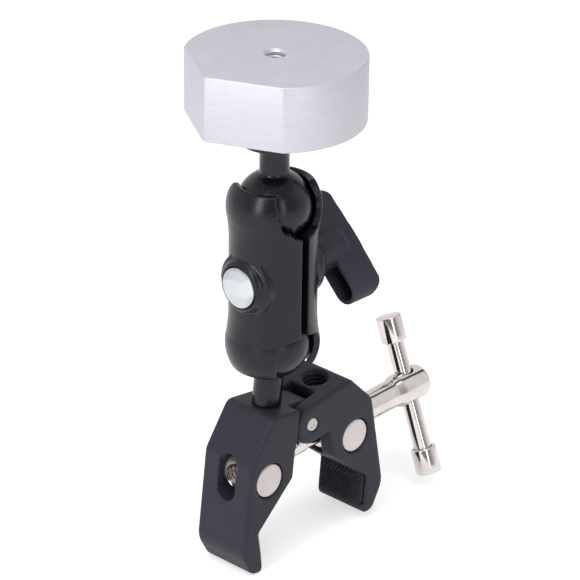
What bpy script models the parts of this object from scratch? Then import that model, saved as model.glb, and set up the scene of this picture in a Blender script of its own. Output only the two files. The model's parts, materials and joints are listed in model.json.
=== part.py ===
# Pole clamp mount for a camera: a crab clamp with a tee screw, a double
# socket arm between two 1 inch balls, and a round aluminium camera puck.
#
# Frame: metres, +Z up. The origin is on the axis of the gripped pole, midway
# across the jaws. +Y runs along that pole and along the hinge pin, +X points
# from the pole towards the tee screw's handle, and the arm stands along +Z.
# Jaw outlines are drawn in a frame on the hinge pin, with the jaw unswung.

from math import acos, atan2, ceil, cos, degrees, hypot, pi, radians, sin, sqrt, tan

import bmesh
import bpy
from mathutils import Matrix, Vector

MM = 0.001
GAP = 0.3                      # clearance kept between neighbouring solids

# Pose of the clamp, degrees
CLAMP_LEAN = 2.0               # the clamp's middle plane, off the arm's axis
HALF_SWING = 8.5               # how far each jaw stands open

# Clamp, millimetres
POLE_BELOW_PIN = 36.0
JAW_HALF_WIDTH = 11.0
JAW_TOP = 6.7                  # top faces above the hinge pin
LOBE_RADIUS = 6.9              # round ends of the ears and the tongue
JAW_RIM = 1.2                  # rounding of the side faces' edges
TONGUE_HALF_WIDTH = 5.3
TONGUE_ROOM = 8.2              # from the pin to the end of the room for the tongue
INNER_FACE = 7.3               # from the pin to each jaw's inner face
LEFT_TOP_EDGE = 19.8
LEFT_BEVEL_FOOT = -9.0
LEFT_OUTER_FACE = 28.2
RIGHT_TOP_EDGE = 20.2
RIGHT_BEVEL_FOOT = -6.0
RIGHT_OUTER_FACE = 29.0
HINGE_PIN_RADIUS = 2.4
TRUNNION_RADIUS = 6.0
TRUNNION_ARM = 24.6            # hinge pin to each trunnion
TRUNNION_DROP = 40.0           # degrees below the pin, jaw unswung
SLOT_HEIGHT = 17.0
LEFT_SLOT_WIDTH = 8.4
RIGHT_SLOT_WIDTH = 11.4
ACCESSORY_HOLE_X = 14.1        # 3/8 inch threaded hole in the right jaw's top
ACCESSORY_HOLE_RADIUS = 4.35
ACCESSORY_HOLE_DEPTH = 10.0
PAD_WIDTH = 19.6
PAD_HEIGHT = 11.6
PAD_THICKNESS = 2.2
PAD_PROUD = 0.9

# Screw and tee handle, millimetres
THREAD_RADIUS = 3.75
RELIEF_RADIUS = 3.3
SLEEVE_RADIUS = 5.1
HEAD_RADIUS = 6.0
SLEEVE_END = 29.8              # all from the right trunnion, along the screw
HEAD_START = 32.6
HEAD_END = 45.0
HANDLE_AT = 38.25
THREAD_END = -15.0
TIP_PAST_NUT = 1.2
BAR_RADIUS = 3.15
BAR_HOLE_RADIUS = 3.75
BAR_TURN = 19.8                # degrees about the screw, top towards +Y
BAR_SLIP = 3.1                 # how far the bar has slid down its hole
BAR_SPAN = 58.4                # over both caps
CAP_RADIUS = 4.6
CAP_LENGTH = 9.4
CAP_BORE = 6.9

# Balls and arm, millimetres
BALL_RADIUS = 12.7             # 1 inch ball
NECK_RADIUS = 4.95
STEM_X = -12.1                 # lower ball's stem, from the pin, jaw unswung
BALL_ABOVE_TOP = 23.05
SPIGOT_RADIUS = 3.9
BALL_SPACING = 49.1
CUP_OUTER = 15.8
WAIST_RADIUS = 14.75
LIP_HEIGHT = 7.9               # how far the cups reach past the ball centres
SHELL_SPLIT = 3.0              # width of the gap between the two shells
NOTCH_HALF_WIDTH = 9.9
NOTCH_DEPTH = 7.1              # past the ball's centre
NOTCH_CORNER = 8.0
BOSS_FACE = 16.2
BOSS_RADIUS = 8.4
BOLT_RADIUS = 2.95
BOLT_HEAD_RADIUS = 6.95
SPRING_POCKET_RADIUS = 6.3
SPRING_POCKET_DEPTH = 8.4

# Wing knob, millimetres
HUB_START = 18.2
HUB_RADIUS = 6.4
WING_START = 23.0
WING_END = 36.8
WING_SAG = 0.9                 # how far the wing's outer face falls away at its ends
WING_CORNER = 4.5
WING_HALF_LENGTH = 20.0
WING_HALF_WIDTH = 4.6
WING_WALL = 1.8
KNOB_ANGLE = 45.0              # degrees about the bolt, lower end towards -Y

# Camera puck, millimetres
PUCK_RADIUS = 30.0
PUCK_HEIGHT = 22.3
PUCK_ABOVE_BALL = 30.8
PUCK_FLAT_DISTANCE = 27.4
PUCK_FLAT_ANGLES = (148.3, 204.7)
PUCK_THREAD_RADIUS = 3.2       # 1/4 inch threaded hole
FLANGE_RADIUS = 11.6
FLANGE_HEIGHT = 7.2

for old in list(bpy.data.objects):
    bpy.data.objects.remove(old, do_unlink=True)

parts = bpy.data.collections.new("pole_clamp_mount")
cutters = bpy.data.collections.new("cutters")
bpy.context.scene.collection.children.link(parts)
bpy.context.scene.collection.children.link(cutters)


def finish(name, colour, roughness, metallic):
    material = bpy.data.materials.new(name)
    material.use_nodes = True
    shader = material.node_tree.nodes["Principled BSDF"]
    shader.inputs["Base Color"].default_value = (*colour, 1)
    shader.inputs["Roughness"].default_value = roughness
    shader.inputs["Metallic"].default_value = metallic
    return material


def frame_at(name, x, z, swing=0.0):
    """Empty at (x, 0, z) mm, turned by swing degrees, anticlockwise from -Y."""
    empty = bpy.data.objects.new(name, None)
    empty.location = (x * MM, 0, z * MM)
    empty.rotation_euler = (0, -radians(swing), 0)
    parts.objects.link(empty)
    return empty


def add_piece(name, mesh, parent, material=None):
    """A finished piece when it has a material, otherwise a hidden cutter."""
    piece = bpy.data.objects.new(name, mesh)
    piece.parent = parent
    if material:
        mesh.materials.clear()
        mesh.materials.append(material)
        parts.objects.link(piece)
    else:
        piece.hide_render = True
        piece.display_type = "WIRE"
        cutters.objects.link(piece)
    return piece


def mesh_from(name, build):
    bm = bmesh.new()
    build(bm)
    mesh = bpy.data.meshes.new(name)
    bm.to_mesh(mesh)
    bm.free()
    return mesh


def along(axis):
    """Rotation that takes +Z to the named axis."""
    if axis == "X":
        return Matrix.Rotation(pi / 2, 4, "Y")
    if axis == "Y":
        return Matrix.Rotation(-pi / 2, 4, "X")
    return Matrix.Identity(4)


def rod_mesh(name, radius, start, end, centre=(0, 0, 0), axis="Z", sides=40):
    """Cylinder from start to end along the axis, through centre."""
    place = Matrix.Translation(Vector(centre) * MM) @ along(axis)
    place = place @ Matrix.Translation((0, 0, (start + end) / 2 * MM))

    def build(bm):
        bmesh.ops.create_cone(bm, cap_ends=True, segments=sides, radius1=radius * MM,
                              radius2=radius * MM, depth=(end - start) * MM, matrix=place)
    return mesh_from(name, build)


def box_mesh(name, low, high):
    size = [(b - a) * MM for a, b in zip(low, high)]
    middle = [(a + b) / 2 * MM for a, b in zip(low, high)]

    def build(bm):
        bmesh.ops.create_cube(bm, size=1, matrix=Matrix.Translation(middle) @ Matrix.Diagonal((*size, 1)))
    return mesh_from(name, build)


def ball_mesh(name, radius, centre):
    def build(bm):
        bmesh.ops.create_uvsphere(bm, u_segments=40, v_segments=20, radius=radius * MM,
                                  matrix=Matrix.Translation(Vector(centre) * MM))
    return mesh_from(name, build)


def turned_mesh(name, profile, centre=(0, 0, 0), axis="Z", steps=40):
    """Solid of revolution from (radius, height) points, top to bottom."""
    line = bpy.data.meshes.new(name + "_profile")
    points = [(radius * MM, 0, height * MM) for radius, height in profile]
    line.from_pydata(points, [(i, i + 1) for i in range(len(points) - 1)], [])
    lathe = bpy.data.objects.new(name + "_lathe", line)
    bpy.context.scene.collection.objects.link(lathe)
    screw = lathe.modifiers.new("turn", "SCREW")
    screw.steps = steps
    screw.render_steps = steps
    screw.use_merge_vertices = True
    screw.merge_threshold = 1e-6
    mesh = baked(lathe, name)
    mesh.transform(Matrix.Translation(Vector(centre) * MM) @ along(axis))
    return mesh


def baked(source, name):
    """The evaluated mesh of a curve or a modified object, welded; the source goes."""
    bpy.context.view_layer.update()
    graph = bpy.context.evaluated_depsgraph_get()
    mesh = bpy.data.meshes.new_from_object(source.evaluated_get(graph))
    mesh.name = name
    bm = bmesh.new()
    bm.from_mesh(mesh)
    bmesh.ops.remove_doubles(bm, verts=bm.verts, dist=1e-7)
    bmesh.ops.dissolve_limit(bm, angle_limit=radians(0.3), verts=bm.verts, edges=bm.edges)
    bm.to_mesh(mesh)
    bm.free()
    bpy.data.objects.remove(source, do_unlink=True)
    return mesh


def rounded(corners, step=11.0):
    """Closed outline through (x, z, radius) corners, with an arc at each."""
    points = []
    count = len(corners)
    for i, (x, z, radius) in enumerate(corners):
        here = Vector((x, z))
        before = Vector(corners[i - 1][:2]) - here
        after = Vector(corners[(i + 1) % count][:2]) - here
        angle = before.angle(after)
        if radius == 0:
            points.append(here)
            continue
        reach = radius / tan(angle / 2)
        start = here + before.normalized() * reach
        end = here + after.normalized() * reach
        middle = (before.normalized() + after.normalized()).normalized()
        centre = here + middle * (radius / sin(angle / 2))
        first = atan2(start.y - centre.y, start.x - centre.x)
        sweep = (atan2(end.y - centre.y, end.x - centre.x) - first + pi) % (2 * pi) - pi
        parts_in_arc = max(2, ceil(degrees(abs(sweep)) / step))
        for k in range(parts_in_arc + 1):
            turn = first + sweep * k / parts_in_arc
            points.append(centre + Vector((cos(turn), sin(turn))) * radius)
    clean = [p for i, p in enumerate(points) if (p - points[i - 1]).length > 1e-4]
    return clean


def plate_mesh(name, outline, half_width, facing="Y", offset=0.0):
    """Flat outline extruded half_width both ways along the facing axis."""
    curve = bpy.data.curves.new(name, "CURVE")
    curve.dimensions = "2D"
    curve.fill_mode = "BOTH"
    curve.extrude = half_width * MM
    spline = curve.splines.new("POLY")
    spline.points.add(len(outline) - 1)
    for point, (x, z) in zip(spline.points, outline):
        point.co = (x * MM, z * MM, 0, 1)
    spline.use_cyclic_u = True
    flat = bpy.data.objects.new(name + "_outline", curve)
    bpy.context.scene.collection.objects.link(flat)
    mesh = baked(flat, name)
    if facing == "Y":
        mesh.transform(Matrix.Translation((0, offset * MM, 0)) @ Matrix.Rotation(pi / 2, 4, "X"))
    else:
        upright = Matrix(((0, 0, 1, offset * MM), (1, 0, 0, 0), (0, 1, 0, 0), (0, 0, 0, 1)))
        mesh.transform(upright)
    return mesh


def combine(piece, cutter, operation="DIFFERENCE"):
    step = piece.modifiers.new(cutter.name, "BOOLEAN")
    step.operation = operation
    step.solver = "EXACT"
    step.object = cutter
    return step


def round_edges(piece, width, segments=2, angle=50.0):
    step = piece.modifiers.new("rounded_edges", "BEVEL")
    step.width = width * MM
    step.segments = segments
    step.limit_method = "ANGLE"
    step.angle_limit = radians(angle)
    step.harden_normals = False
    return step


def smooth(piece, angle=30.0):
    piece.data.shade_smooth()
    piece.data.set_sharp_from_angle(angle=radians(angle))
    return piece


def swung(x, z, degrees_on):
    """Point turned anticlockwise as seen from -Y."""
    turn = radians(degrees_on)
    return x * cos(turn) - z * sin(turn), x * sin(turn) + z * cos(turn)


# Finishes
cast_black = finish("powder coated black alloy", (0.045, 0.045, 0.055), 0.5, 0.0)
shell_black = finish("black anodised shell", (0.03, 0.03, 0.035), 0.38, 0.0)
knob_black = finish("black moulded knob", (0.045, 0.045, 0.055), 0.5, 0.0)
nickel = finish("bright nickel", (0.62, 0.57, 0.53), 0.16, 1.0)
zinc = finish("bright zinc", (0.75, 0.77, 0.8), 0.25, 1.0)
bare_aluminium = finish("satin aluminium", (0.7, 0.7, 0.74), 0.35, 0.6)
rubber = finish("black rubber", (0.012, 0.012, 0.015), 0.75, 0.0)
spring_steel = finish("spring steel", (0.4, 0.4, 0.4), 0.3, 1.0)

# Places of the joints
left_swing = CLAMP_LEAN - HALF_SWING
right_swing = CLAMP_LEAN + HALF_SWING
pin_x, pin_z = swung(0, POLE_BELOW_PIN, CLAMP_LEAN)
offset_x, offset_z = swung(STEM_X, JAW_TOP + BALL_ABOVE_TOP, left_swing)
ball_x, ball_z = pin_x + offset_x, pin_z + offset_z
drop = radians(TRUNNION_DROP)
trunnion_x, trunnion_z = TRUNNION_ARM * cos(drop), -TRUNNION_ARM * sin(drop)
offset_x, offset_z = swung(trunnion_x, trunnion_z, right_swing)
right_trunnion_x, right_trunnion_z = pin_x + offset_x, pin_z + offset_z
offset_x, offset_z = swung(-trunnion_x, trunnion_z, left_swing)
left_trunnion_x, left_trunnion_z = pin_x + offset_x, pin_z + offset_z
nut_distance = hypot(right_trunnion_x - left_trunnion_x, right_trunnion_z - left_trunnion_z)

left_frame = frame_at("left_jaw_frame", pin_x, pin_z, left_swing)
right_frame = frame_at("right_jaw_frame", pin_x, pin_z, right_swing)
left_trunnion_frame = frame_at("left_trunnion_frame", left_trunnion_x, left_trunnion_z, CLAMP_LEAN)
screw_frame = frame_at("screw_frame", right_trunnion_x, right_trunnion_z, CLAMP_LEAN)
lower_ball_frame = frame_at("lower_ball_frame", ball_x, ball_z, left_swing)
arm_frame = frame_at("arm_frame", ball_x, ball_z + BALL_SPACING / 2)
upper_ball_frame = frame_at("upper_ball_frame", ball_x, ball_z + BALL_SPACING)


def jaw_outline(side, top_edge, bevel_foot, outer_face):
    """Jaw seen along the pin: lobe, top, bevelled shoulder, leg and hooked tip."""
    corners = [
        (-LOBE_RADIUS, JAW_TOP, JAW_TOP - 0.1),
        (top_edge, JAW_TOP, 3.0),
        (outer_face, bevel_foot, 5.0),
        (outer_face, -40.8, 8.0),
        (22.6, -48.7, 2.5),
        (18.3, -48.7, 1.6),
        (18.8, -45.2, 3.0),
        (21.8, -34.6, 2.6),
        (INNER_FACE, -17.6, 1.6),
        (INNER_FACE, -LOBE_RADIUS, 0.6),
        (-LOBE_RADIUS, -LOBE_RADIUS, LOBE_RADIUS - 0.1),
    ]
    outline = [(side * p.x, p.y) for p in rounded(corners)]
    return outline


def obround_mesh(name, width, height, x_from, x_to, z_middle):
    """Slot cutter along X: a plate with round ends, standing in Y and Z."""
    half_width, half_height = width / 2, height / 2
    corners = [(y * half_width, z_middle + z * half_height, half_width * 0.999)
               for y, z in ((-1, -1), (1, -1), (1, 1), (-1, 1))]
    return plate_mesh(name, rounded(corners), (x_to - x_from) / 2, "X", (x_from + x_to) / 2)


def pad_box(name, side, thickness, width, height, sunk):
    """Box lying on a jaw's gripping face, sunk into it by the given depth."""
    low, high = Vector((18.8, -45.2)), Vector((21.8, -34.6))
    middle = (low + high) / 2
    lean = degrees(atan2(high.x - low.x, high.y - low.y))
    mesh = box_mesh(name, (-(thickness - sunk), -width / 2, -height / 2),
                    (sunk, width / 2, height / 2))
    mesh.transform(Matrix.Translation((middle.x * MM, 0, middle.y * MM))
                   @ Matrix.Rotation(radians(lean), 4, "Y"))
    if side < 0:
        mesh.transform(Matrix.Rotation(pi, 4, "Z"))
    return mesh


def make_left_jaw():
    outline = jaw_outline(-1, LEFT_TOP_EDGE, LEFT_BEVEL_FOOT, LEFT_OUTER_FACE)
    jaw = add_piece("left_jaw", plate_mesh("left_jaw", outline, JAW_HALF_WIDTH), left_frame, cast_black)
    round_edges(jaw, JAW_RIM)
    ear_face = -(LOBE_RADIUS + GAP)
    for side in (-1, 1):
        near, far = TONGUE_HALF_WIDTH, JAW_HALF_WIDTH + 5
        low_y, high_y = min(side * near, side * far), max(side * near, side * far)
        combine(jaw, add_piece("ear_room", box_mesh("ear_room", (ear_face, low_y, -30), (30, high_y, 20)),
                               left_frame))
    combine(jaw, add_piece("left_pin_hole", rod_mesh("left_pin_hole", HINGE_PIN_RADIUS + GAP, -20, 20,
                                                     axis="Y"), left_frame))
    combine(jaw, add_piece("left_trunnion_bore",
                           rod_mesh("left_trunnion_bore", TRUNNION_RADIUS + GAP, -20, 20,
                                    (-trunnion_x, 0, trunnion_z), "Y", 48), left_frame))
    combine(jaw, add_piece("left_slot", obround_mesh("left_slot", LEFT_SLOT_WIDTH, SLOT_HEIGHT, -40, 0,
                                                     trunnion_z - 0.3), left_frame))
    combine(jaw, add_piece("stem_bore", rod_mesh("stem_bore", SPIGOT_RADIUS + GAP, -4, 20,
                                                 (STEM_X, 0, 0)), left_frame))
    combine(jaw, add_piece("left_pad_seat", pad_box("left_pad_seat", -1, 9, PAD_WIDTH + 2 * GAP,
                                                    PAD_HEIGHT + 2 * GAP, PAD_THICKNESS - PAD_PROUD + GAP),
                           left_frame))
    return smooth(jaw)


def make_right_jaw():
    outline = jaw_outline(1, RIGHT_TOP_EDGE, RIGHT_BEVEL_FOOT, RIGHT_OUTER_FACE)
    jaw = add_piece("right_jaw", plate_mesh("right_jaw", outline, JAW_HALF_WIDTH), right_frame, cast_black)
    round_edges(jaw, JAW_RIM)
    room = TONGUE_HALF_WIDTH + GAP
    combine(jaw, add_piece("tongue_room", box_mesh("tongue_room", (-20, -room, -30),
                                                   (TONGUE_ROOM, room, 20)), right_frame))
    combine(jaw, add_piece("right_pin_hole", rod_mesh("right_pin_hole", HINGE_PIN_RADIUS + GAP, -20, 20,
                                                      axis="Y"), right_frame))
    combine(jaw, add_piece("right_trunnion_bore",
                           rod_mesh("right_trunnion_bore", TRUNNION_RADIUS + GAP, -20, 20,
                                    (trunnion_x, 0, trunnion_z), "Y", 48), right_frame))
    combine(jaw, add_piece("right_slot", obround_mesh("right_slot", RIGHT_SLOT_WIDTH, SLOT_HEIGHT, 0, 40,
                                                      trunnion_z), right_frame))
    top = JAW_TOP
    countersink = 0.7
    threaded_hole = [(0, top + 3), (ACCESSORY_HOLE_RADIUS + countersink, top + 3),
                     (ACCESSORY_HOLE_RADIUS + countersink, top),
                     (ACCESSORY_HOLE_RADIUS, top - countersink),
                     (ACCESSORY_HOLE_RADIUS, top - ACCESSORY_HOLE_DEPTH),
                     (0, top - ACCESSORY_HOLE_DEPTH - 1.5)]
    combine(jaw, add_piece("accessory_hole", turned_mesh("accessory_hole", threaded_hole,
                                                         (ACCESSORY_HOLE_X, 0, 0)), right_frame))
    combine(jaw, add_piece("right_pad_seat", pad_box("right_pad_seat", 1, 9, PAD_WIDTH + 2 * GAP,
                                                     PAD_HEIGHT + 2 * GAP, PAD_THICKNESS - PAD_PROUD + GAP),
                           right_frame))
    return smooth(jaw)


def make_pads():
    for name, side, frame in (("left_pad", -1, left_frame), ("right_pad", 1, right_frame)):
        sunk = PAD_THICKNESS - PAD_PROUD
        pad = add_piece(name, pad_box(name, side, PAD_THICKNESS, PAD_WIDTH, PAD_HEIGHT, sunk), frame, rubber)
        round_edges(pad, 0.5)
        smooth(pad)


def make_hinge_pin():
    half, edge = JAW_HALF_WIDTH - 0.1, 0.4
    profile = [(0, half), (HINGE_PIN_RADIUS - edge, half), (HINGE_PIN_RADIUS, half - edge),
               (HINGE_PIN_RADIUS, -half + edge), (HINGE_PIN_RADIUS - edge, -half), (0, -half)]
    pin = add_piece("hinge_pin", turned_mesh("hinge_pin", profile, axis="Y", steps=28), right_frame, nickel)
    smooth(pin)


def make_trunnion(name, frame):
    """Cross drilled barrel along Y, with the screw's hole through it along X."""
    half, edge = JAW_HALF_WIDTH - 0.2, 0.5
    profile = [(0, half), (TRUNNION_RADIUS - edge, half), (TRUNNION_RADIUS, half - edge),
               (TRUNNION_RADIUS, -half + edge), (TRUNNION_RADIUS - edge, -half), (0, -half)]
    barrel = add_piece(name, turned_mesh(name, profile, axis="Y", steps=48), frame, nickel)
    combine(barrel, add_piece(name + "_hole", rod_mesh(name + "_hole", THREAD_RADIUS + GAP, -20, 20,
                                                       axis="X"), frame))
    smooth(barrel)


def make_clamp_screw():
    """Turned screw: thread, relief, shoulder sleeve, cone and cross drilled head."""
    shoulder = TRUNNION_RADIUS + GAP
    tip = -nut_distance - TIP_PAST_NUT
    profile = [(0, HEAD_END), (HEAD_RADIUS - 0.9, HEAD_END), (HEAD_RADIUS - 0.25, HEAD_END - 0.3),
               (HEAD_RADIUS, HEAD_END - 0.9), (HEAD_RADIUS, HEAD_START), (SLEEVE_RADIUS, SLEEVE_END),
               (SLEEVE_RADIUS, shoulder + 0.4), (SLEEVE_RADIUS - 0.4, shoulder),
               (RELIEF_RADIUS, shoulder), (RELIEF_RADIUS, THREAD_END + 0.5), (THREAD_RADIUS, THREAD_END),
               (THREAD_RADIUS, tip + 1), (THREAD_RADIUS - 1, tip), (0, tip)]
    screw = add_piece("clamp_screw", turned_mesh("clamp_screw", profile, axis="X"), screw_frame, nickel)
    bar_hole = add_piece("bar_hole", rod_mesh("bar_hole", BAR_HOLE_RADIUS, -20, 20), bar_frame)
    combine(screw, bar_hole)
    smooth(screw)
    inner, outer = RELIEF_RADIUS + GAP, 5.2
    left, right = -TRUNNION_RADIUS - GAP - 1.2, -TRUNNION_RADIUS - GAP
    ring = add_piece("screw_ring", rod_mesh("screw_ring", outer, left, right, axis="X"), screw_frame, nickel)
    combine(ring, add_piece("ring_hole", rod_mesh("ring_hole", inner, left - 1, right + 1, axis="X"),
                            screw_frame))
    smooth(ring)


def make_tee_bar():
    half = BAR_SPAN / 2 - CAP_LENGTH + CAP_BORE - GAP
    bar = add_piece("tommy_bar", rod_mesh("tommy_bar", BAR_RADIUS, -half - BAR_SLIP, half - BAR_SLIP,
                                          sides=32), bar_frame, nickel)
    smooth(bar)
    edge = 0.7
    for name, end in (("bar_cap_upper", 1), ("bar_cap_lower", -1)):
        outside, mouth, floor = BAR_SPAN / 2, BAR_SPAN / 2 - CAP_LENGTH, BAR_SPAN / 2 - CAP_LENGTH + CAP_BORE
        profile = [(0, outside), (CAP_RADIUS - edge, outside), (CAP_RADIUS, outside - edge),
                   (CAP_RADIUS, mouth + 0.3), (CAP_RADIUS - 0.3, mouth), (BAR_RADIUS + GAP, mouth),
                   (BAR_RADIUS + GAP, floor), (0, floor)]
        mesh = turned_mesh(name, profile, steps=32)
        if end < 0:
            mesh.transform(Matrix.Rotation(pi, 4, "X"))
        mesh.transform(Matrix.Translation((0, 0, -BAR_SLIP * MM)))
        smooth(add_piece(name, mesh, bar_frame, nickel))


def stud_profile(neck_end, below):
    """Ball at the origin with its neck down to -neck_end, then what is below."""
    neck_turn = degrees(acos(NECK_RADIUS / BALL_RADIUS))
    steps = 15
    arc = []
    for k in range(steps + 1):
        turn = radians(90 - (90 + neck_turn) * k / steps)
        arc.append((BALL_RADIUS * cos(turn), BALL_RADIUS * sin(turn)))
    arc[0] = (0, BALL_RADIUS)
    return arc + [(NECK_RADIUS, -neck_end)] + below


def make_ball_studs():
    foot = BALL_ABOVE_TOP - GAP
    below = [(NECK_RADIUS - 0.4, -foot), (SPIGOT_RADIUS, -foot), (SPIGOT_RADIUS, -foot - 9.5),
             (SPIGOT_RADIUS - 0.8, -foot - 10.3), (0, -foot - 10.3)]
    lower = add_piece("lower_ball_stud", turned_mesh("lower_ball_stud", stud_profile(foot - 0.4, below)),
                      lower_ball_frame, shell_black)
    smooth(lower)
    top = PUCK_ABOVE_BALL - GAP
    flange = top - FLANGE_HEIGHT
    below = [(NECK_RADIUS + 0.6, -flange), (FLANGE_RADIUS - 0.8, -flange), (FLANGE_RADIUS, -flange - 0.8),
             (FLANGE_RADIUS, -top + 0.5), (FLANGE_RADIUS - 0.5, -top), (SPIGOT_RADIUS, -top),
             (SPIGOT_RADIUS, -top - 6), (0, -top - 6)]
    mesh = turned_mesh("upper_ball_stud", stud_profile(flange - 0.6, below))
    mesh.transform(Matrix.Rotation(pi, 4, "X"))
    smooth(add_piece("upper_ball_stud", mesh, upper_ball_frame, shell_black))


def make_puck():
    bottom = PUCK_ABOVE_BALL
    top = bottom + PUCK_HEIGHT
    puck = add_piece("camera_puck", rod_mesh("camera_puck", PUCK_RADIUS, bottom, top, sides=96),
                     upper_ball_frame, bare_aluminium)
    for angle in PUCK_FLAT_ANGLES:
        mesh = box_mesh("puck_flat", (PUCK_FLAT_DISTANCE, -40, bottom - 5), (50, 40, top + 5))
        mesh.transform(Matrix.Rotation(radians(angle), 4, "Z"))
        combine(puck, add_piece("puck_flat", mesh, upper_ball_frame))
    round_edges(puck, 0.5, 2, 20.0)
    countersink = 0.8
    threaded_hole = [(0, top + 3), (PUCK_THREAD_RADIUS + countersink, top + 3),
                     (PUCK_THREAD_RADIUS + countersink, top), (PUCK_THREAD_RADIUS, top - countersink),
                     (PUCK_THREAD_RADIUS, top - 12), (0, top - 13.5)]
    combine(puck, add_piece("camera_hole", turned_mesh("camera_hole", threaded_hole), upper_ball_frame))
    combine(puck, add_piece("stud_bore", rod_mesh("stud_bore", SPIGOT_RADIUS + GAP, bottom - 3,
                                                  bottom + 6.3), upper_ball_frame))
    smooth(puck)


def arm_profile():
    """Outer outline of the closed arm: cup, waist and cup, about the bolt."""
    half = BALL_SPACING / 2
    cup = []
    steps = 7
    top_turn = atan2(LIP_HEIGHT, sqrt(CUP_OUTER ** 2 - LIP_HEIGHT ** 2))
    low_turn = -radians(12.0)
    for k in range(steps + 1):
        turn = top_turn + (low_turn - top_turn) * k / steps
        cup.append((CUP_OUTER * cos(turn), half + CUP_OUTER * sin(turn)))
    inside = sqrt((BALL_RADIUS + GAP) ** 2 - LIP_HEIGHT ** 2) - 1.5
    cup[0] = (cup[0][0] - 0.5, cup[0][1] + 0.15)
    upper = [(inside, half + LIP_HEIGHT)] + cup + [(15.15, half - 6.2), (WAIST_RADIUS, half - 9.5)]
    lower = [(radius, -height) for radius, height in reversed(upper)]
    return [(0, half + LIP_HEIGHT)] + upper + lower + [(0, -half - LIP_HEIGHT)]


def notch_mesh(name, end):
    """U cutter across the arm, open past the lip, with its round bottom inside."""
    half = BALL_SPACING / 2
    bottom, mouth = half - NOTCH_DEPTH, half + 20
    corners = [(-NOTCH_HALF_WIDTH, mouth, 0), (NOTCH_HALF_WIDTH, mouth, 0),
               (NOTCH_HALF_WIDTH, bottom, NOTCH_CORNER), (-NOTCH_HALF_WIDTH, bottom, NOTCH_CORNER)]
    outline = [(p.x, end * p.y) for p in rounded(corners)]
    return plate_mesh(name, outline, 30)


def make_arm_shell(name, side):
    """One half of the arm: cup, waist, boss, spring pocket and bolt hole."""
    half = BALL_SPACING / 2
    shell = add_piece(name, turned_mesh(name, arm_profile(), steps=56), arm_frame, shell_black)
    boss_profile = [(0, BOSS_FACE), (BOSS_RADIUS - 0.5, BOSS_FACE), (BOSS_RADIUS, BOSS_FACE - 0.5),
                    (BOSS_RADIUS + 0.9, BOSS_FACE - 2.2), (BOSS_RADIUS + 2.6, 10.5), (0, 10.5)]
    boss = turned_mesh("boss", boss_profile, axis="X")
    if side < 0:
        boss.transform(Matrix.Rotation(pi, 4, "Z"))
    combine(shell, add_piece("boss", boss, arm_frame), "UNION")
    inner = SHELL_SPLIT / 2
    low_x, high_x = (-inner, 40) if side < 0 else (-40, inner)
    combine(shell, add_piece("split", box_mesh("split", (low_x, -40, -60), (high_x, 40, 60)), arm_frame))
    for end in (-1, 1):
        combine(shell, add_piece("socket", ball_mesh("socket", BALL_RADIUS + GAP, (0, 0, end * half)),
                                 arm_frame))
        combine(shell, add_piece("notch", notch_mesh("notch", end), arm_frame))
    combine(shell, add_piece("spring_pocket", rod_mesh("spring_pocket", SPRING_POCKET_RADIUS,
                                                       -SPRING_POCKET_DEPTH, SPRING_POCKET_DEPTH,
                                                       axis="X"), arm_frame))
    if side < 0:
        square = BOLT_RADIUS + GAP
        combine(shell, add_piece("bolt_hole", box_mesh("bolt_hole", (-30, -square, -square),
                                                       (0, square, square)), arm_frame))
        combine(shell, add_piece("head_seat", rod_mesh("head_seat", BOLT_HEAD_RADIUS + GAP, -30,
                                                       -BOSS_FACE + 0.9, axis="X"), arm_frame))
    else:
        combine(shell, add_piece("bolt_hole", rod_mesh("bolt_hole", BOLT_RADIUS + GAP, 0, 30, axis="X"),
                                 arm_frame))
    smooth(shell, 35.0)


def make_bolt():
    """Carriage bolt: domed head on -X, square neck, round shank into the knob."""
    seat = BOSS_FACE - 0.9 + GAP
    rim = seat + 0.9
    dome = 1.0
    head = [(0, rim + dome), (BOLT_HEAD_RADIUS * 0.35, rim + dome * 0.94),
            (BOLT_HEAD_RADIUS * 0.7, rim + dome * 0.66), (BOLT_HEAD_RADIUS - 0.5, rim + 0.2),
            (BOLT_HEAD_RADIUS, rim - 0.3), (BOLT_HEAD_RADIUS, seat),
            (BOLT_RADIUS - 0.05, seat), (BOLT_RADIUS - 0.05, -31), (BOLT_RADIUS - 0.6, -31.8), (0, -31.8)]
    mesh = turned_mesh("arm_bolt", head, axis="X")
    mesh.transform(Matrix.Rotation(pi, 4, "Z"))
    bolt = add_piece("arm_bolt", mesh, arm_frame, zinc)
    half = BOLT_RADIUS
    neck = add_piece("square_neck", box_mesh("square_neck", (-seat - 0.2, -half, -half),
                                             (-seat + 4, half, half)), arm_frame)
    combine(bolt, neck, "UNION")
    smooth(bolt)


def make_spring():
    """Compression spring round the bolt, pushing the shells apart."""
    turns, per_turn, wire = 5, 14, 0.55
    half = SPRING_POCKET_DEPTH - GAP - wire
    curve = bpy.data.curves.new("arm_spring", "CURVE")
    curve.dimensions = "3D"
    curve.bevel_depth = wire * MM
    curve.bevel_resolution = 2
    curve.use_fill_caps = True
    spline = curve.splines.new("POLY")
    spline.points.add(turns * per_turn)
    for k, point in enumerate(spline.points):
        turn = 2 * pi * k / per_turn
        along_x = -half + 2 * half * k / (turns * per_turn)
        point.co = (along_x * MM, 4.9 * cos(turn) * MM, 4.9 * sin(turn) * MM, 1)
    spring = bpy.data.objects.new("arm_spring", curve)
    curve.materials.append(spring_steel)
    spring.parent = arm_frame
    parts.objects.link(spring)


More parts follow.
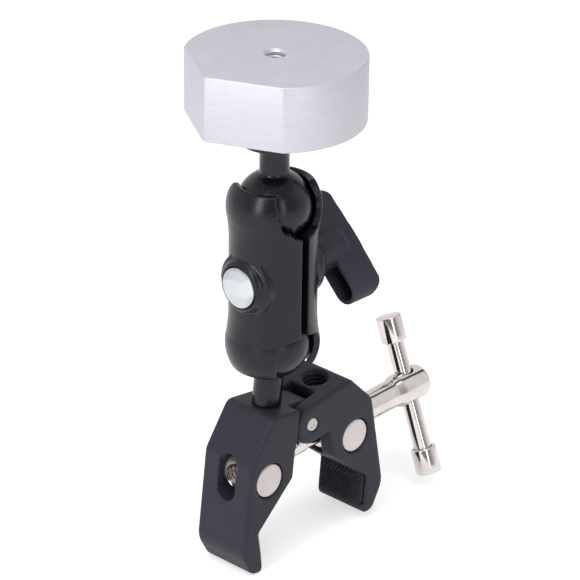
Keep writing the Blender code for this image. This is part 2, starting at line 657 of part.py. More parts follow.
def make_knob():
    """Moulded wing on a hub, hollow towards the arm, with a hex nut in the hub."""
    corners = [(s * WING_HALF_LENGTH, t * WING_HALF_WIDTH, WING_HALF_WIDTH * 0.999)
               for s, t in ((-1, -1), (1, -1), (1, 1), (-1, 1))]
    wing = plate_mesh("knob_wing", rounded(corners), (WING_END - WING_START) / 2, "X",
                      (WING_END + WING_START) / 2)
    knob = add_piece("knob_wing", wing, knob_frame, knob_black)
    end_height = WING_END - WING_SAG
    crown = [(-WING_HALF_LENGTH, WING_START - 1, 0), (WING_HALF_LENGTH, WING_START - 1, 0),
             (WING_HALF_LENGTH, end_height, WING_CORNER), (0, WING_END, 60),
             (-WING_HALF_LENGTH, end_height, WING_CORNER)]
    crowned = plate_mesh("wing_crown", rounded(crown), 2 * WING_HALF_WIDTH)
    crowned.transform(Matrix(((0, 0, 1, 0), (1, 0, 0, 0), (0, 1, 0, 0), (0, 0, 0, 1))))
    combine(knob, add_piece("wing_crown", crowned, knob_frame), "INTERSECT")
    round_edges(knob, 0.6, angle=30.0)
    hollow = WING_HALF_WIDTH - WING_WALL
    for end in (-1, 1):
        near, far = HUB_RADIUS - 0.6, WING_HALF_LENGTH - WING_WALL
        spots = [(end * near, -hollow, 0.8), (end * far, -hollow, hollow * 0.999),
                 (end * far, hollow, hollow * 0.999), (end * near, hollow, 0.8)]
        pocket = plate_mesh("wing_pocket", rounded(spots), 7, "X", WING_END - 2 - 7)
        combine(knob, add_piece("wing_pocket", pocket, knob_frame))
    hub_profile = [(0, 31.5), (HUB_RADIUS - 1.6, 31.5), (HUB_RADIUS - 0.4, 30.5), (HUB_RADIUS, 29),
                   (HUB_RADIUS, HUB_START + 0.5), (HUB_RADIUS - 0.5, HUB_START), (0, HUB_START)]
    hub = add_piece("hub", turned_mesh("hub", hub_profile, axis="X"), knob_frame)
    combine(knob, hub, "UNION")
    combine(knob, add_piece("knob_bore", rod_mesh("knob_bore", BOLT_RADIUS + GAP, HUB_START - 2, 33,
                                                  axis="X"), knob_frame))
    nut_radius, nut_start, nut_end = 5.0, HUB_START + 0.4, HUB_START + 5.4
    combine(knob, add_piece("nut_pocket", rod_mesh("nut_pocket", nut_radius + GAP + 0.1, HUB_START - 2,
                                                   nut_end + GAP, axis="X", sides=6), knob_frame))
    smooth(knob)
    nut = add_piece("knob_nut", rod_mesh("knob_nut", nut_radius, nut_start, nut_end, axis="X", sides=6),
                    knob_frame, nickel)
    combine(nut, add_piece("nut_bore", rod_mesh("nut_bore", BOLT_RADIUS + GAP, nut_start - 1, nut_end + 1,
                                                axis="X", sides=28), knob_frame))
    start, end = BOSS_FACE + GAP, BOSS_FACE + GAP + 1.2
    washer = add_piece("knob_washer", rod_mesh("knob_washer", 7.0, start, end, axis="X"), knob_frame, nickel)
    combine(washer, add_piece("washer_hole", rod_mesh("washer_hole", BOLT_RADIUS + GAP, start - 1, end + 1,
                                                      axis="X", sides=28), knob_frame))
    smooth(washer)


bar_frame = bpy.data.objects.new("bar_frame", None)
bar_frame.parent = screw_frame
bar_frame.location = (HANDLE_AT * MM, 0, 0)
bar_frame.rotation_euler = (-radians(BAR_TURN), 0, 0)
parts.objects.link(bar_frame)

knob_frame = bpy.data.objects.new("knob_frame", None)
knob_frame.parent = arm_frame
knob_frame.rotation_euler = (radians(KNOB_ANGLE), 0, 0)
parts.objects.link(knob_frame)

make_left_jaw()
make_right_jaw()
make_pads()
make_hinge_pin()
make_trunnion("left_trunnion", left_trunnion_frame)
make_trunnion("right_trunnion", screw_frame)
make_clamp_screw()
make_tee_bar()
make_ball_studs()
make_puck()
make_arm_shell("arm_shell_left", -1)
make_arm_shell("arm_shell_right", 1)
make_bolt()
make_spring()
make_knob()
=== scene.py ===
import json
from math import acos, asin, cos, pi, radians, sin, sqrt, tan

import bmesh
import bpy
from mathutils import Matrix, Vector


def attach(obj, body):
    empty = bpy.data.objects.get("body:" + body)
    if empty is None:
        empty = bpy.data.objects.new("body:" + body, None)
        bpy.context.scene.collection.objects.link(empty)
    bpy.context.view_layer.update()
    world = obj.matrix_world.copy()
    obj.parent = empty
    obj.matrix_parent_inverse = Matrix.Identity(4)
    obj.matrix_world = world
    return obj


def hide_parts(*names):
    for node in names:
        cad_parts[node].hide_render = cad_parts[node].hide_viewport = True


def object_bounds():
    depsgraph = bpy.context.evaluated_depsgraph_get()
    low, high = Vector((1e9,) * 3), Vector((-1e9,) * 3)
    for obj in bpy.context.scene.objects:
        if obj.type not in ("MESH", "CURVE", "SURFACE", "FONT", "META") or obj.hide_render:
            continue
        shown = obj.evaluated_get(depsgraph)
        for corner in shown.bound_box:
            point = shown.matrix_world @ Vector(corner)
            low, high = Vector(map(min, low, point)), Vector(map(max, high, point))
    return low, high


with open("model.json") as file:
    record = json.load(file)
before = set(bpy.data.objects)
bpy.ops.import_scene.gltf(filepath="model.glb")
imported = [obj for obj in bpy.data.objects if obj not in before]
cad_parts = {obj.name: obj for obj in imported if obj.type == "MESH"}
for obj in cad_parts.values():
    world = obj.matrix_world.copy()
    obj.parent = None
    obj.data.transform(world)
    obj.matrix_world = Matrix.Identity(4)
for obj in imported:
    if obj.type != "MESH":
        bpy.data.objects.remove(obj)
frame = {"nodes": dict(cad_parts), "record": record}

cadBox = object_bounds()
mm = 0.001
fullTurn = 2 * pi
joints = {joint["name"]: joint for joint in frame["record"]["behaviour"]["joints"]}
print("frame loaded, nodes:", len(frame["nodes"]))

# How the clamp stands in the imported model, in degrees, and where the tee bar crosses the screw, in millimetres
pose = {"lean": 2.0, "halfSwing": 8.5, "barTurn": 19.8, "knobTurn": 45.0, "handleAt": 38.25}


def frameAt(point, swing=0.0):
    # local millimetres to metres, turned about the pole's direction
    turn = Matrix.Rotation(-radians(swing), 4, "Y")
    return Matrix.Translation(point) @ turn @ Matrix.Scale(mm, 4)


def jointPlace(name):
    return Vector(joints[name]["pos_m"])


leftJawFrame = frameAt(jointPlace("jaw_open"), pose["lean"] - pose["halfSwing"])
rightJawFrame = frameAt(jointPlace("jaw_open"), pose["lean"] + pose["halfSwing"])
leftBarrelFrame = frameAt(jointPlace("left_barrel_turn"), pose["lean"])
screwFrame = frameAt(jointPlace("right_barrel_turn"), pose["lean"])
lowerBallFrame = frameAt(jointPlace("arm_tilt"), pose["lean"] - pose["halfSwing"])
armFrame = frameAt(jointPlace("knob_spin"))
upperBallFrame = frameAt(jointPlace("head_tilt"))
knobFrame = armFrame @ Matrix.Rotation(radians(pose["knobTurn"]), 4, "X")
barTurn = Matrix.Translation((pose["handleAt"], 0, 0)) @ Matrix.Rotation(-radians(pose["barTurn"]), 4, "X")
barFrame = screwFrame @ barTurn
alongX = Matrix.Rotation(pi / 2, 4, "Y")
alongY = Matrix.Rotation(-pi / 2, 4, "X")
nutDistance = (jointPlace("right_barrel_turn") - jointPlace("left_barrel_turn")).length / mm


# Node and colour helpers

def hexToLinear(code):
    channels = [int(code[i:i + 2], 16) / 255 for i in (1, 3, 5)]
    return tuple(c / 12.92 if c <= 0.04045 else ((c + 0.055) / 1.055) ** 2.4 for c in channels) + (1.0,)


def addNode(tree, kind, settings=None, inputs=None):
    # an input is a value, another node's socket, or a node, which stands for its first output
    node = tree.nodes.new(kind)
    for name, value in (settings or {}).items():
        setattr(node, name, value)
    for name, value in (inputs or {}).items():
        if isinstance(value, bpy.types.Node):
            value = value.outputs[0]
        if isinstance(value, bpy.types.NodeSocket):
            tree.links.new(value, node.inputs[name])
        else:
            node.inputs[name].default_value = value
    return node


def perMetre(size):
    # texture scale for a feature of this many millimetres
    return 1 / (size * mm)


def newMaterial(name, sockets):
    material = bpy.data.materials.new(name)
    material.use_nodes = True
    tree = material.node_tree
    shader = tree.nodes["Principled BSDF"]
    for socket, value in sockets.items():
        shader.inputs[socket].default_value = value
    return material, tree, shader


# Materials

coolGloss = (0.86, 0.88, 1.0, 1.0)  # the blue-grey cast of the gloss on the black parts
noiseSpan = {"From Min": 0.3, "From Max": 0.7}  # where nearly all of a noise pattern lies


def finishSurface(tree, shader, share, shades, rough, height, strength, depth):
    # what each finish ends in: two shades mixed by share, a roughness, and a bump of depth millimetres from height
    colour = addNode(tree, "ShaderNodeMix", {"data_type": "RGBA"}, {
        0: share, 6: hexToLinear(shades[0]), 7: hexToLinear(shades[1])}).outputs[2]
    bump = addNode(tree, "ShaderNodeBump", inputs={"Height": height, "Strength": strength, "Distance": depth * mm})
    for socket, value in (("Base Color", colour), ("Roughness", rough.outputs[0]), ("Normal", bump.outputs[0])):
        tree.links.new(value, shader.inputs[socket])


def blackSkin(name, shades, grit, roughness, bumpHeight, gloss):
    # a black coat or moulded skin: two close shades of slate in soft patches, under a fine even grit
    # the real grit is 0.1 to 0.2 mm, too fine for the render, so grit is given coarser, in millimetres
    material, tree, shader = newMaterial(name, {
        "IOR": 1.5, "Specular IOR Level": gloss, "Specular Tint": coolGloss})
    spot = addNode(tree, "ShaderNodeTexCoord").outputs["Object"]
    grain = addNode(tree, "ShaderNodeTexNoise", inputs={
        "Vector": spot, "Scale": perMetre(grit), "Detail": 3.0, "Roughness": 0.6})
    patches = addNode(tree, "ShaderNodeTexNoise", inputs={"Vector": spot, "Scale": perMetre(9.0), "Detail": 2.0})
    both = addNode(tree, "ShaderNodeMix", {"data_type": "FLOAT"}, {0: 0.6, 2: patches, 3: grain})
    share = addNode(tree, "ShaderNodeMapRange", inputs={"Value": both, **noiseSpan})
    rough = addNode(tree, "ShaderNodeMapRange", inputs={
        "Value": grain, **noiseSpan, "To Min": roughness - 0.05, "To Max": roughness + 0.06})
    finishSurface(tree, shader, share, shades, rough, grain, 0.55, bumpHeight)
    return material


def buffedMetal(name, shades, roughness, wave):
    # polished metal: a mirror with the slight waves of the buffing, and scuffs drawn 0.8 mm across, coarser than real
    material, tree, shader = newMaterial(name, {"Metallic": 1.0})
    spot = addNode(tree, "ShaderNodeTexCoord").outputs["Object"]
    cloud = addNode(tree, "ShaderNodeTexNoise", inputs={"Vector": spot, "Scale": perMetre(5.0), "Detail": 3.0})
    scuffs = addNode(tree, "ShaderNodeTexNoise", inputs={
        "Vector": spot, "Scale": perMetre(0.8), "Detail": 4.0, "Roughness": 0.7})
    share = addNode(tree, "ShaderNodeMapRange", inputs={"Value": cloud, **noiseSpan})
    rough = addNode(tree, "ShaderNodeMapRange", inputs={
        "Value": scuffs, **noiseSpan, "To Min": roughness - 0.04, "To Max": roughness + 0.06})
    finishSurface(tree, shader, share, shades, rough, cloud, 0.5, wave)
    return material


def spangledZinc():
    # bright zinc on a cold forged head: soft facets as large as the photograph's, each a shade lighter or darker
    material, tree, shader = newMaterial("brightZincPlate", {"Metallic": 1.0})
    spot = addNode(tree, "ShaderNodeTexCoord").outputs["Object"]
    facets = addNode(tree, "ShaderNodeTexVoronoi", {"feature": "SMOOTH_F1"}, {
        "Vector": spot, "Scale": perMetre(5.5), "Smoothness": 0.4}).outputs["Color"]
    shade = addNode(tree, "ShaderNodeSeparateColor", inputs={"Color": facets})
    grain = addNode(tree, "ShaderNodeTexNoise", inputs={"Vector": spot, "Scale": perMetre(0.5), "Detail": 3.0})
    both = addNode(tree, "ShaderNodeMix", {"data_type": "FLOAT"}, {0: 0.4, 2: shade, 3: grain})
    rough = addNode(tree, "ShaderNodeMapRange", inputs={"Value": grain, **noiseSpan, "To Min": 0.3, "To Max": 0.42})
    finishSurface(tree, shader, both, ("#a6acb3", "#dadee2"), rough, shade, 0.4, 0.08)
    return material


def turnedMetal(name, shades, roughness, joint, axis, metallic):
    # metal faced on a lathe about a joint's axis: a soft satin with fine tool lines, drawn 0.9 mm apart where the
    # real ones are 0.1 mm
    material, tree, shader = newMaterial(name, {"Metallic": metallic})
    spot = addNode(tree, "ShaderNodeTexCoord").outputs["Object"]
    centred = addNode(tree, "ShaderNodeMapping", inputs={"Vector": spot, "Location": -jointPlace(joint)})
    rings = addNode(tree, "ShaderNodeTexWave", {"wave_type": "RINGS", "rings_direction": axis}, {
        "Vector": centred, "Scale": perMetre(0.9) * fullTurn / 20, "Distortion": 0.6, "Detail": 2.0,
        "Detail Scale": 3.0}).outputs["Fac"]
    # long marks round the side, a noise squeezed along the axis
    squeeze = tuple(14.0 if letter == axis else 1.0 for letter in "XYZ")
    sideways = addNode(tree, "ShaderNodeMapping", inputs={"Vector": centred, "Scale": squeeze})
    marks = addNode(tree, "ShaderNodeTexNoise", inputs={
        "Vector": sideways, "Scale": perMetre(9.0), "Detail": 4.0, "Roughness": 0.6})
    share = addNode(tree, "ShaderNodeMapRange", inputs={"Value": marks, **noiseSpan})
    both = addNode(tree, "ShaderNodeMix", {"data_type": "FLOAT"}, {0: 0.5, 2: marks, 3: rings})
    rough = addNode(tree, "ShaderNodeMapRange", inputs={
        "Value": both, "To Min": roughness - 0.04, "To Max": roughness + 0.04})
    finishSurface(tree, shader, share, shades, rough, both, 0.3, 0.003)
    return material


def ribbedRubber():
    # moulded nitrile rubber: near black, dull, with a fine skin and a dusty bloom that greys it in patches
    material, tree, shader = newMaterial("mouldedNitrileRubber", {
        "IOR": 1.52, "Specular IOR Level": 0.3, "Specular Tint": coolGloss})
    spot = addNode(tree, "ShaderNodeTexCoord").outputs["Object"]
    skin = addNode(tree, "ShaderNodeTexNoise", inputs={"Vector": spot, "Scale": perMetre(0.3), "Detail": 4.0})
    bloom = addNode(tree, "ShaderNodeTexNoise", inputs={"Vector": spot, "Scale": perMetre(3.5), "Detail": 3.0})
    share = addNode(tree, "ShaderNodeMapRange", inputs={"Value": bloom, **noiseSpan})
    rough = addNode(tree, "ShaderNodeMapRange", inputs={"Value": skin, **noiseSpan, "To Min": 0.6, "To Max": 0.8})
    finishSurface(tree, shader, share, ("#25252c", "#34343c"), rough, skin, 0.5, 0.03)
    return material


# polyester powder baked on die cast alloy: even slate black, dull, with a sandy pimple
clampBlack = blackSkin("powderCoatedCastAlloy", ("#292a32", "#32333c"), 0.6, 0.5, 0.05, 0.24)
# thin satin paint on a smooth casting: near black with a soft, wide sheen
shellBlack = blackSkin("satinBlackCastShell", ("#0d0d13", "#14141b"), 0.6, 0.29, 0.004, 0.37)
# hard anodised after turning: deep black, nearly smooth, with a closer highlight
ballBlack = blackSkin("blackAnodisedBall", ("#0b0b10", "#111117"), 0.8, 0.25, 0.0002, 0.4)
# glass filled nylon from a spark eroded mould: the dullest slate, with an even grit
knobBlack = blackSkin("sparkTexturedNylon", ("#32333c", "#3b3c45"), 0.5, 0.55, 0.05, 0.27)
# hot blackened steel: brown black, half dull
blackOxide = blackSkin("blackOxideSteel", ("#121216", "#1b1b20"), 0.5, 0.4, 0.01, 0.35)
# nickel over polished steel: a warm mirror, a little uneven
brightNickel = buffedMetal("brightNickelPlate", ("#dad3d0", "#cfc8c5"), 0.12, 0.05)
brightZinc = spangledZinc()
# drawn wire: plain grey, half bright
springSteel = buffedMetal("drawnSpringSteel", ("#a9a7a3", "#8f8d8a"), 0.3, 0.02)
# turned, then satin anodised: pale cool grey, with faint lines round its axis
turnedAluminium = turnedMetal("turnedAnodisedAluminium", ("#c5c5ce", "#cccdd5"), 0.42, "puck_spin", "Z", 0.5)
# nickel on turned ends: warm grey satin; the left barrel's and the pin's copies are the same nickel made darker,
# painted shade for where they sit in shadow
rightBarrelFace = turnedMetal("facedNickelBarrelRight", ("#cfc7c5", "#c7bfbd"), 0.4, "right_barrel_turn", "Y", 0.8)
# painted shade: the left barrel and the pin get darker shades of the same nickel than the right barrel
leftBarrelPaintedShadeFace = turnedMetal("facedNickelBarrelLeftPaintedShade", ("#cac2c0", "#c1b9b7"), 0.4, "left_barrel_turn", "Y", 0.8)
pinPaintedShadeFace = turnedMetal("facedNickelPinPaintedShade", ("#c9c1bf", "#bfb7b4"), 0.38, "jaw_open", "Y", 0.8)
rubber = ribbedRubber()
print("materials made:", len(bpy.data.materials))


# Modelling helpers, all in millimetres

def newObject(name, bm):
    mesh = bpy.data.meshes.new(name)
    bm.to_mesh(mesh)
    bm.free()
    piece = bpy.data.objects.new(name, mesh)
    bpy.context.scene.collection.objects.link(piece)
    return piece


def closedObject(name, bm, turn):
    bmesh.ops.remove_doubles(bm, verts=bm.verts, dist=1e-4)
    bmesh.ops.recalc_face_normals(bm, faces=bm.faces)
    bmesh.ops.transform(bm, matrix=turn, verts=bm.verts)
    return newObject(name, bm)


def latheObject(name, profile, turn=Matrix.Identity(4), steps=96):
    # spins (radius, height) points round the Z axis, then turns the result
    bm = bmesh.new()
    verts = [bm.verts.new((radius, 0, height)) for radius, height in profile]
    edges = [bm.edges.new(pair) for pair in zip(verts, verts[1:])]
    bmesh.ops.spin(bm, geom=verts + edges, cent=(0, 0, 0), axis=(0, 0, 1), angle=fullTurn,
                   steps=steps, use_merge=True)
    return closedObject(name, bm, turn)


def rod(name, radius, start, end, centre=(0, 0, 0), turn=Matrix.Identity(4), sides=64):
    bm = bmesh.new()
    middle = Matrix.Translation(centre) @ turn @ Matrix.Translation((0, 0, (start + end) / 2))
    bmesh.ops.create_cone(bm, cap_ends=True, segments=sides, radius1=radius, radius2=radius,
                          depth=end - start, matrix=middle)
    return newObject(name, bm)


def block(name, low, high, turn=Matrix.Identity(4)):
    bm = bmesh.new()
    size = [b - a for a, b in zip(low, high)]
    middle = [(a + b) / 2 for a, b in zip(low, high)]
    bmesh.ops.create_cube(bm, size=1, matrix=turn @ Matrix.Translation(middle) @ Matrix.Diagonal((*size, 1)))
    return newObject(name, bm)


def extrudeFaces(bm, faces, along):
    grown = bmesh.ops.extrude_face_region(bm, geom=faces)["geom"]
    moved = [item for item in grown if isinstance(item, bmesh.types.BMVert)]
    bmesh.ops.translate(bm, verts=moved, vec=along)


def plate(bm, corners, halfThickness, arcSteps=8):
    # flat outline through (x, z, radius) corners, rounded there, then thickened along Y
    verts = [bm.verts.new((x, -halfThickness, z)) for x, z, radius in corners]
    face = bm.faces.new(verts)
    spots = [Vector((x, z)) for x, z, radius in corners]
    for i, (x, z, radius) in enumerate(corners):
        if radius == 0:
            continue
        before = spots[i - 1] - spots[i]
        after = spots[(i + 1) % len(spots)] - spots[i]
        reach = radius / tan(before.angle(after) / 2)
        bmesh.ops.bevel(bm, geom=[verts[i]], offset=reach, segments=arcSteps, profile=0.5, affect="VERTICES",
                        material=-1)
    face = max(bm.faces, key=lambda f: f.calc_area())
    extrudeFaces(bm, [face], (0, 2 * halfThickness, 0))
    bmesh.ops.recalc_face_normals(bm, faces=bm.faces)


def plateObject(name, corners, halfThickness, turn=Matrix.Identity(4), rim=0.0, arcSteps=8):
    bm = bmesh.new()
    plate(bm, corners, halfThickness, arcSteps)
    if rim:
        outer = [e for e in bm.edges if e.is_manifold and e.calc_face_angle() > radians(60)
                 and abs(e.verts[0].co.y - e.verts[1].co.y) < 0.01]
        bmesh.ops.bevel(bm, geom=outer, offset=rim, segments=4, profile=0.5, affect="EDGES", material=-1)
    bmesh.ops.transform(bm, matrix=turn, verts=bm.verts)
    return newObject(name, bm)


def cut(piece, *others, operation="DIFFERENCE", solver="EXACT"):
    for other in others:
        step = piece.modifiers.new(other.name, "BOOLEAN")
        step.operation = operation
        step.solver = solver
        step.object = other
    settle(piece)
    for other in others:
        bpy.data.objects.remove(other, do_unlink=True)
    return piece


def settle(piece):
    # the modifiers' result becomes the piece's own mesh
    bpy.context.view_layer.update()
    graph = bpy.context.evaluated_depsgraph_get()
    result = bpy.data.meshes.new_from_object(piece.evaluated_get(graph))
    piece.modifiers.clear()
    piece.data = result
    return piece


def castSkin(piece, voxel, passes, coat=0.0):
    # one even skin over the whole form, its edges rounded as a casting's are, and grown by the coat's thickness
    skin = piece.modifiers.new("skin", "REMESH")
    skin.mode = "VOXEL"
    skin.voxel_size = voxel
    soften = piece.modifiers.new("soften", "SMOOTH")
    soften.factor = 0.5
    soften.iterations = passes
    if coat:
        grown = piece.modifiers.new("coat", "DISPLACE")
        grown.mid_level = 0
        grown.strength = coat
    return settle(piece)


def softEdges(piece, width, segments=2, angle=35.0, spacing=0.08):
    bm = bmesh.new()
    bm.from_mesh(piece.data)
    bmesh.ops.remove_doubles(bm, verts=bm.verts, dist=spacing)
    bmesh.ops.dissolve_degenerate(bm, dist=spacing / 4, edges=bm.edges)
    sharp = [e for e in bm.edges if e.is_manifold and e.calc_face_angle() > radians(angle)]
    bmesh.ops.bevel(bm, geom=sharp, offset=width, segments=segments, profile=0.5, affect="EDGES", material=-1)
    bm.to_mesh(piece.data)
    bm.free()
    return piece


def place(piece, where, body, material, nodes=(), sharpAngle=None):
    # moves the finished mesh to its frame and hands the piece to its body
    piece.data.transform(where)
    piece.data.materials.clear()
    piece.data.materials.append(material)
    piece.data.shade_smooth()
    if sharpAngle:
        piece.data.set_sharp_from_angle(angle=radians(sharpAngle))
    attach(piece, body)
    if nodes:
        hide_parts(*nodes)
    return piece


def threadRidge(name, radius, height, pitch, start, end, turn=Matrix.Identity(4), steps=32):
    # one helical ridge, sunk a little into what carries it; a positive height stands outwards, a negative one inwards
    bm = bmesh.new()
    turns = (end - start) / pitch
    sunk, wide, narrow = 0.12 * (1 if height > 0 else -1), 0.46 * pitch, 0.07 * pitch
    section = [(radius - sunk, start - wide), (radius - sunk, start + wide),
               (radius + height, start + narrow), (radius + height, start - narrow)]
    verts = [bm.verts.new((x, 0, z)) for x, z in section]
    face = bm.faces.new(verts)
    count = int(turns * steps)
    bmesh.ops.spin(bm, geom=[face] + list(face.edges) + verts, cent=(0, 0, 0), axis=(0, 0, 1),
                   dvec=(0, 0, pitch / steps), angle=turns * fullTurn, steps=count,
                   use_merge=False)
    return closedObject(name, bm, turn)


def joined(name, *pieces):
    bm = bmesh.new()
    for piece in pieces:
        bm.from_mesh(piece.data)
        bpy.data.objects.remove(piece, do_unlink=True)
    return newObject(name, bm)


# Jaws: one outline each, seen along the hinge pin, x away from the pin; padFoot and padTop are the pad's edge there
jaw = {
    "halfWidth": 11.0, "top": 6.7, "lobe": 6.9, "rim": 1.1, "innerFace": 7.3,
    "barrelX": 24.6 * cos(radians(40)), "barrelZ": -24.6 * sin(radians(40)), "barrelBore": 6.55,
    "pinBore": 2.75, "tongueHalf": 5.3, "tongueRoom": 8.2, "slotHeight": 17.0, "voxel": 0.36, "softening": 3,
    "coat": 0.2, "padFoot": (18.8, -45.2), "padTop": (21.8, -34.6), "stemX": -12.1, "stemBore": 4.2,
    "holeX": 14.1, "holeRadius": 4.5, "holeMouth": 5.05, "holePitch": 1.59,
    "left": {"topEdge": 19.8, "bevelFoot": -9.0, "outerFace": 28.2, "slotWidth": 8.4, "heel": -41.8, "tip": -49.4},
    "right": {"topEdge": 20.2, "bevelFoot": -6.0, "outerFace": 29.0, "slotWidth": 11.4, "heel": -41.2, "tip": -49.0},
}


def jawCorners(side):
    form = jaw["left"] if side < 0 else jaw["right"]
    lobe = jaw["lobe"]
    corners = [
        (-lobe, jaw["top"], jaw["top"] - 0.1), (form["topEdge"], jaw["top"], 3.0),
        (form["outerFace"], form["bevelFoot"], 5.0), (form["outerFace"], form["heel"], 8.0),
        (22.6, form["tip"], 2.5), (18.0, form["tip"], 1.6), (*jaw["padFoot"], 3.0), (*jaw["padTop"], 2.6),
        (jaw["innerFace"], -17.6, 1.6), (jaw["innerFace"], -lobe, 0.6), (-lobe, -lobe, lobe - 0.1)]
    return [(side * x, z, radius) for x, z, radius in corners]


def roundedBox(halfX, halfZ, radius):
    return [(-halfX, -halfZ, radius), (halfX, -halfZ, radius), (halfX, halfZ, radius), (-halfX, halfZ, radius)]


def slotTool(name, width, height, xFrom, xTo, z):
    turn = Matrix.Translation(((xFrom + xTo) / 2, 0, z)) @ Matrix.Rotation(pi / 2, 4, "Z")
    return plateObject(name, roundedBox(width / 2, height / 2, width / 2 * 0.99), (xTo - xFrom) / 2, turn)


pad = {"width": 19.6, "height": 11.6, "thickness": 2.2, "proud": 0.9, "border": 1.1, "ribPitch": 1.6,
       "ribWidth": 0.8, "ribDepth": 0.65, "ribSlope": 1.0, "ribEnd": 0.6, "bendBelowTop": 0.27, "voxel": 0.16}


def padFrame(side):
    low, high = Vector(jaw["padFoot"]), Vector(jaw["padTop"])
    middle = (low + high) / 2
    lean = asin((high - low).x / (high - low).length)
    turn = Matrix.Translation((middle.x, 0, middle.y)) @ Matrix.Rotation(lean, 4, "Y")
    return Matrix.Rotation(pi, 4, "Z") @ turn if side < 0 else turn


def makeJaw(name, side, where, body, node):
    form = jaw["left"] if side < 0 else jaw["right"]
    casting = plateObject(name, jawCorners(side), jaw["halfWidth"], rim=jaw["rim"])
    barrel = (side * jaw["barrelX"], 0, jaw["barrelZ"])
    tools = [rod("barrelBore", jaw["barrelBore"], -20, 20, barrel, alongY),
             rod("pinBore", jaw["pinBore"], -20, 20, (0, 0, 0), alongY, 40)]
    if side < 0:
        earFace = -(jaw["lobe"] + 0.3 + jaw["coat"])
        tongue = jaw["tongueHalf"] - jaw["coat"]
        tools += [block("earRoomBack", (earFace, tongue, -30), (30, 30, 20)),
                  block("earRoomFront", (earFace, -30, -30), (30, -tongue, 20)),
                  slotTool("screwSlot", form["slotWidth"], jaw["slotHeight"], -40, 0, jaw["barrelZ"] - 0.3),
                  rod("stemBore", jaw["stemBore"], -4, 20, (jaw["stemX"], 0, 0))]
    else:
        room = jaw["tongueHalf"] + 0.3 + jaw["coat"]
        top = jaw["top"]
        tools += [block("tongueRoom", (-20, -room, -30), (jaw["tongueRoom"], room, 20)),
                  slotTool("screwSlot", form["slotWidth"], jaw["slotHeight"], 0, 40, jaw["barrelZ"])]
        hole, mouth = jaw["holeRadius"], jaw["holeMouth"]
        tools.append(latheObject("accessoryBore", [
            (0, top + 3), (mouth, top + 3), (mouth, top), (hole, top - 0.6), (hole, top - 10), (0, top - 11.5)],
            Matrix.Translation((jaw["holeX"], 0, 0))))
    room = 0.2 + jaw["coat"]
    seat = block("padSeat", (-7.7, -pad["width"] / 2 - room, -pad["height"] / 2 - room),
                 (pad["thickness"] - pad["proud"] + room, pad["width"] / 2 + room, pad["height"] / 2 + room),
                 padFrame(side))
    cut(casting, seat, *tools)
    castSkin(casting, jaw["voxel"], jaw["softening"], jaw["coat"])
    return place(casting, where, body, clampBlack, [node])


makeJaw("leftJawCasting", -1, leftJawFrame, "left_half", "left_jaw")
makeJaw("rightJawCasting", 1, rightJawFrame, "right_half", "right_jaw")
print("jaws cast")


def chevronRib(bm, y):
    # one bent rib across the pad, its bend towards +Y, standing from its floor to the border's height
    half, width = pad["height"] / 2, pad["ribWidth"] / 2
    bend = half * (1 - 2 * pad["bendBelowTop"])
    lowEnd, highEnd = y - (bend + half) / pad["ribSlope"], y - (half - bend) / pad["ribSlope"]
    spots = [(lowEnd - width, -half), (y - width, bend), (highEnd - width, half),
             (highEnd + width, half), (y + width, bend), (lowEnd + width, -half)]
    low = pad["ribDepth"] - pad["proud"] + 0.1
    face = bm.faces.new([bm.verts.new((low, a, b)) for a, b in spots])
    extrudeFaces(bm, [face], (-pad["proud"] - low, 0, 0))


def makePad(name, side, where, body, node):
    sunk = pad["thickness"] - pad["proud"]
    half, tall = pad["width"] / 2, pad["height"] / 2
    endY, endZ = half - pad["ribEnd"], tall - pad["ribEnd"]
    bm = bmesh.new()
    count = int((pad["width"] + pad["height"]) / pad["ribPitch"])
    for k in range(count):
        chevronRib(bm, -half + (k + 0.5) * pad["ribPitch"])
    bmesh.ops.recalc_face_normals(bm, faces=bm.faces)
    for spot, outward in (((0, -endY, 0), (0, -1, 0)), ((0, endY, 0), (0, 1, 0)),
                          ((0, 0, -endZ), (0, 0, -1)), ((0, 0, endZ), (0, 0, 1))):
        every = bm.verts[:] + bm.edges[:] + bm.faces[:]
        bmesh.ops.bisect_plane(bm, geom=every, plane_co=spot, plane_no=outward, clear_outer=True)
        bmesh.ops.holes_fill(bm, edges=[e for e in bm.edges if e.is_boundary], sides=0)
    ribs = newObject("ribs", bm)
    bm = bmesh.new()
    bmesh.ops.create_cube(bm, size=1, matrix=Matrix.Translation(((sunk - pad["proud"]) / 2, 0, 0))
                          @ Matrix.Diagonal((pad["thickness"], pad["width"], pad["height"], 1)))
    front = min(bm.faces, key=lambda f: f.calc_center_median().x)
    bmesh.ops.inset_individual(bm, faces=[front], thickness=pad["border"], depth=0)
    bmesh.ops.translate(bm, verts=front.verts[:], vec=(pad["ribDepth"], 0, 0))
    upright = [e for e in bm.edges if abs(e.verts[0].co.x - e.verts[1].co.x) > 1 and e.is_manifold]
    bmesh.ops.bevel(bm, geom=upright, offset=1.0, segments=4, profile=0.5, affect="EDGES", material=-1)
    moulded = joined(name, newObject("slab", bm), ribs)
    castSkin(moulded, pad["voxel"], 1)
    return place(moulded, where @ padFrame(side), body, rubber, [node])


makePad("leftGripPad", -1, leftJawFrame, "left_half", "left_pad")
makePad("rightGripPad", 1, rightJawFrame, "right_half", "right_pad")
print("pads moulded")


# Hinge pin and the two barrels that the screw passes through
barrel = {"radius": 6.0, "half": 10.9, "edge": 0.45, "holeRadius": 4.05, "threadPitch": 1.5}
pin = {"radius": 2.4, "half": 11.1, "edge": 0.35, "dimple": 1.3, "dimpleDepth": 0.4}


def makePin():
    half, edge, radius = pin["half"], pin["edge"], pin["radius"]
    inner, outer, deep = pin["dimple"] - 0.3, pin["dimple"], pin["dimpleDepth"]
    upper = [(0, half - deep), (inner, half - deep), (outer, half), (radius - edge, half), (radius, half - edge)]
    profile = upper + [(r, -z) for r, z in reversed(upper)]
    place(latheObject("hingePinTurned", profile, alongY, 48), rightJawFrame, "right_half", pinPaintedShadeFace,
          ["hinge_pin"], 30)


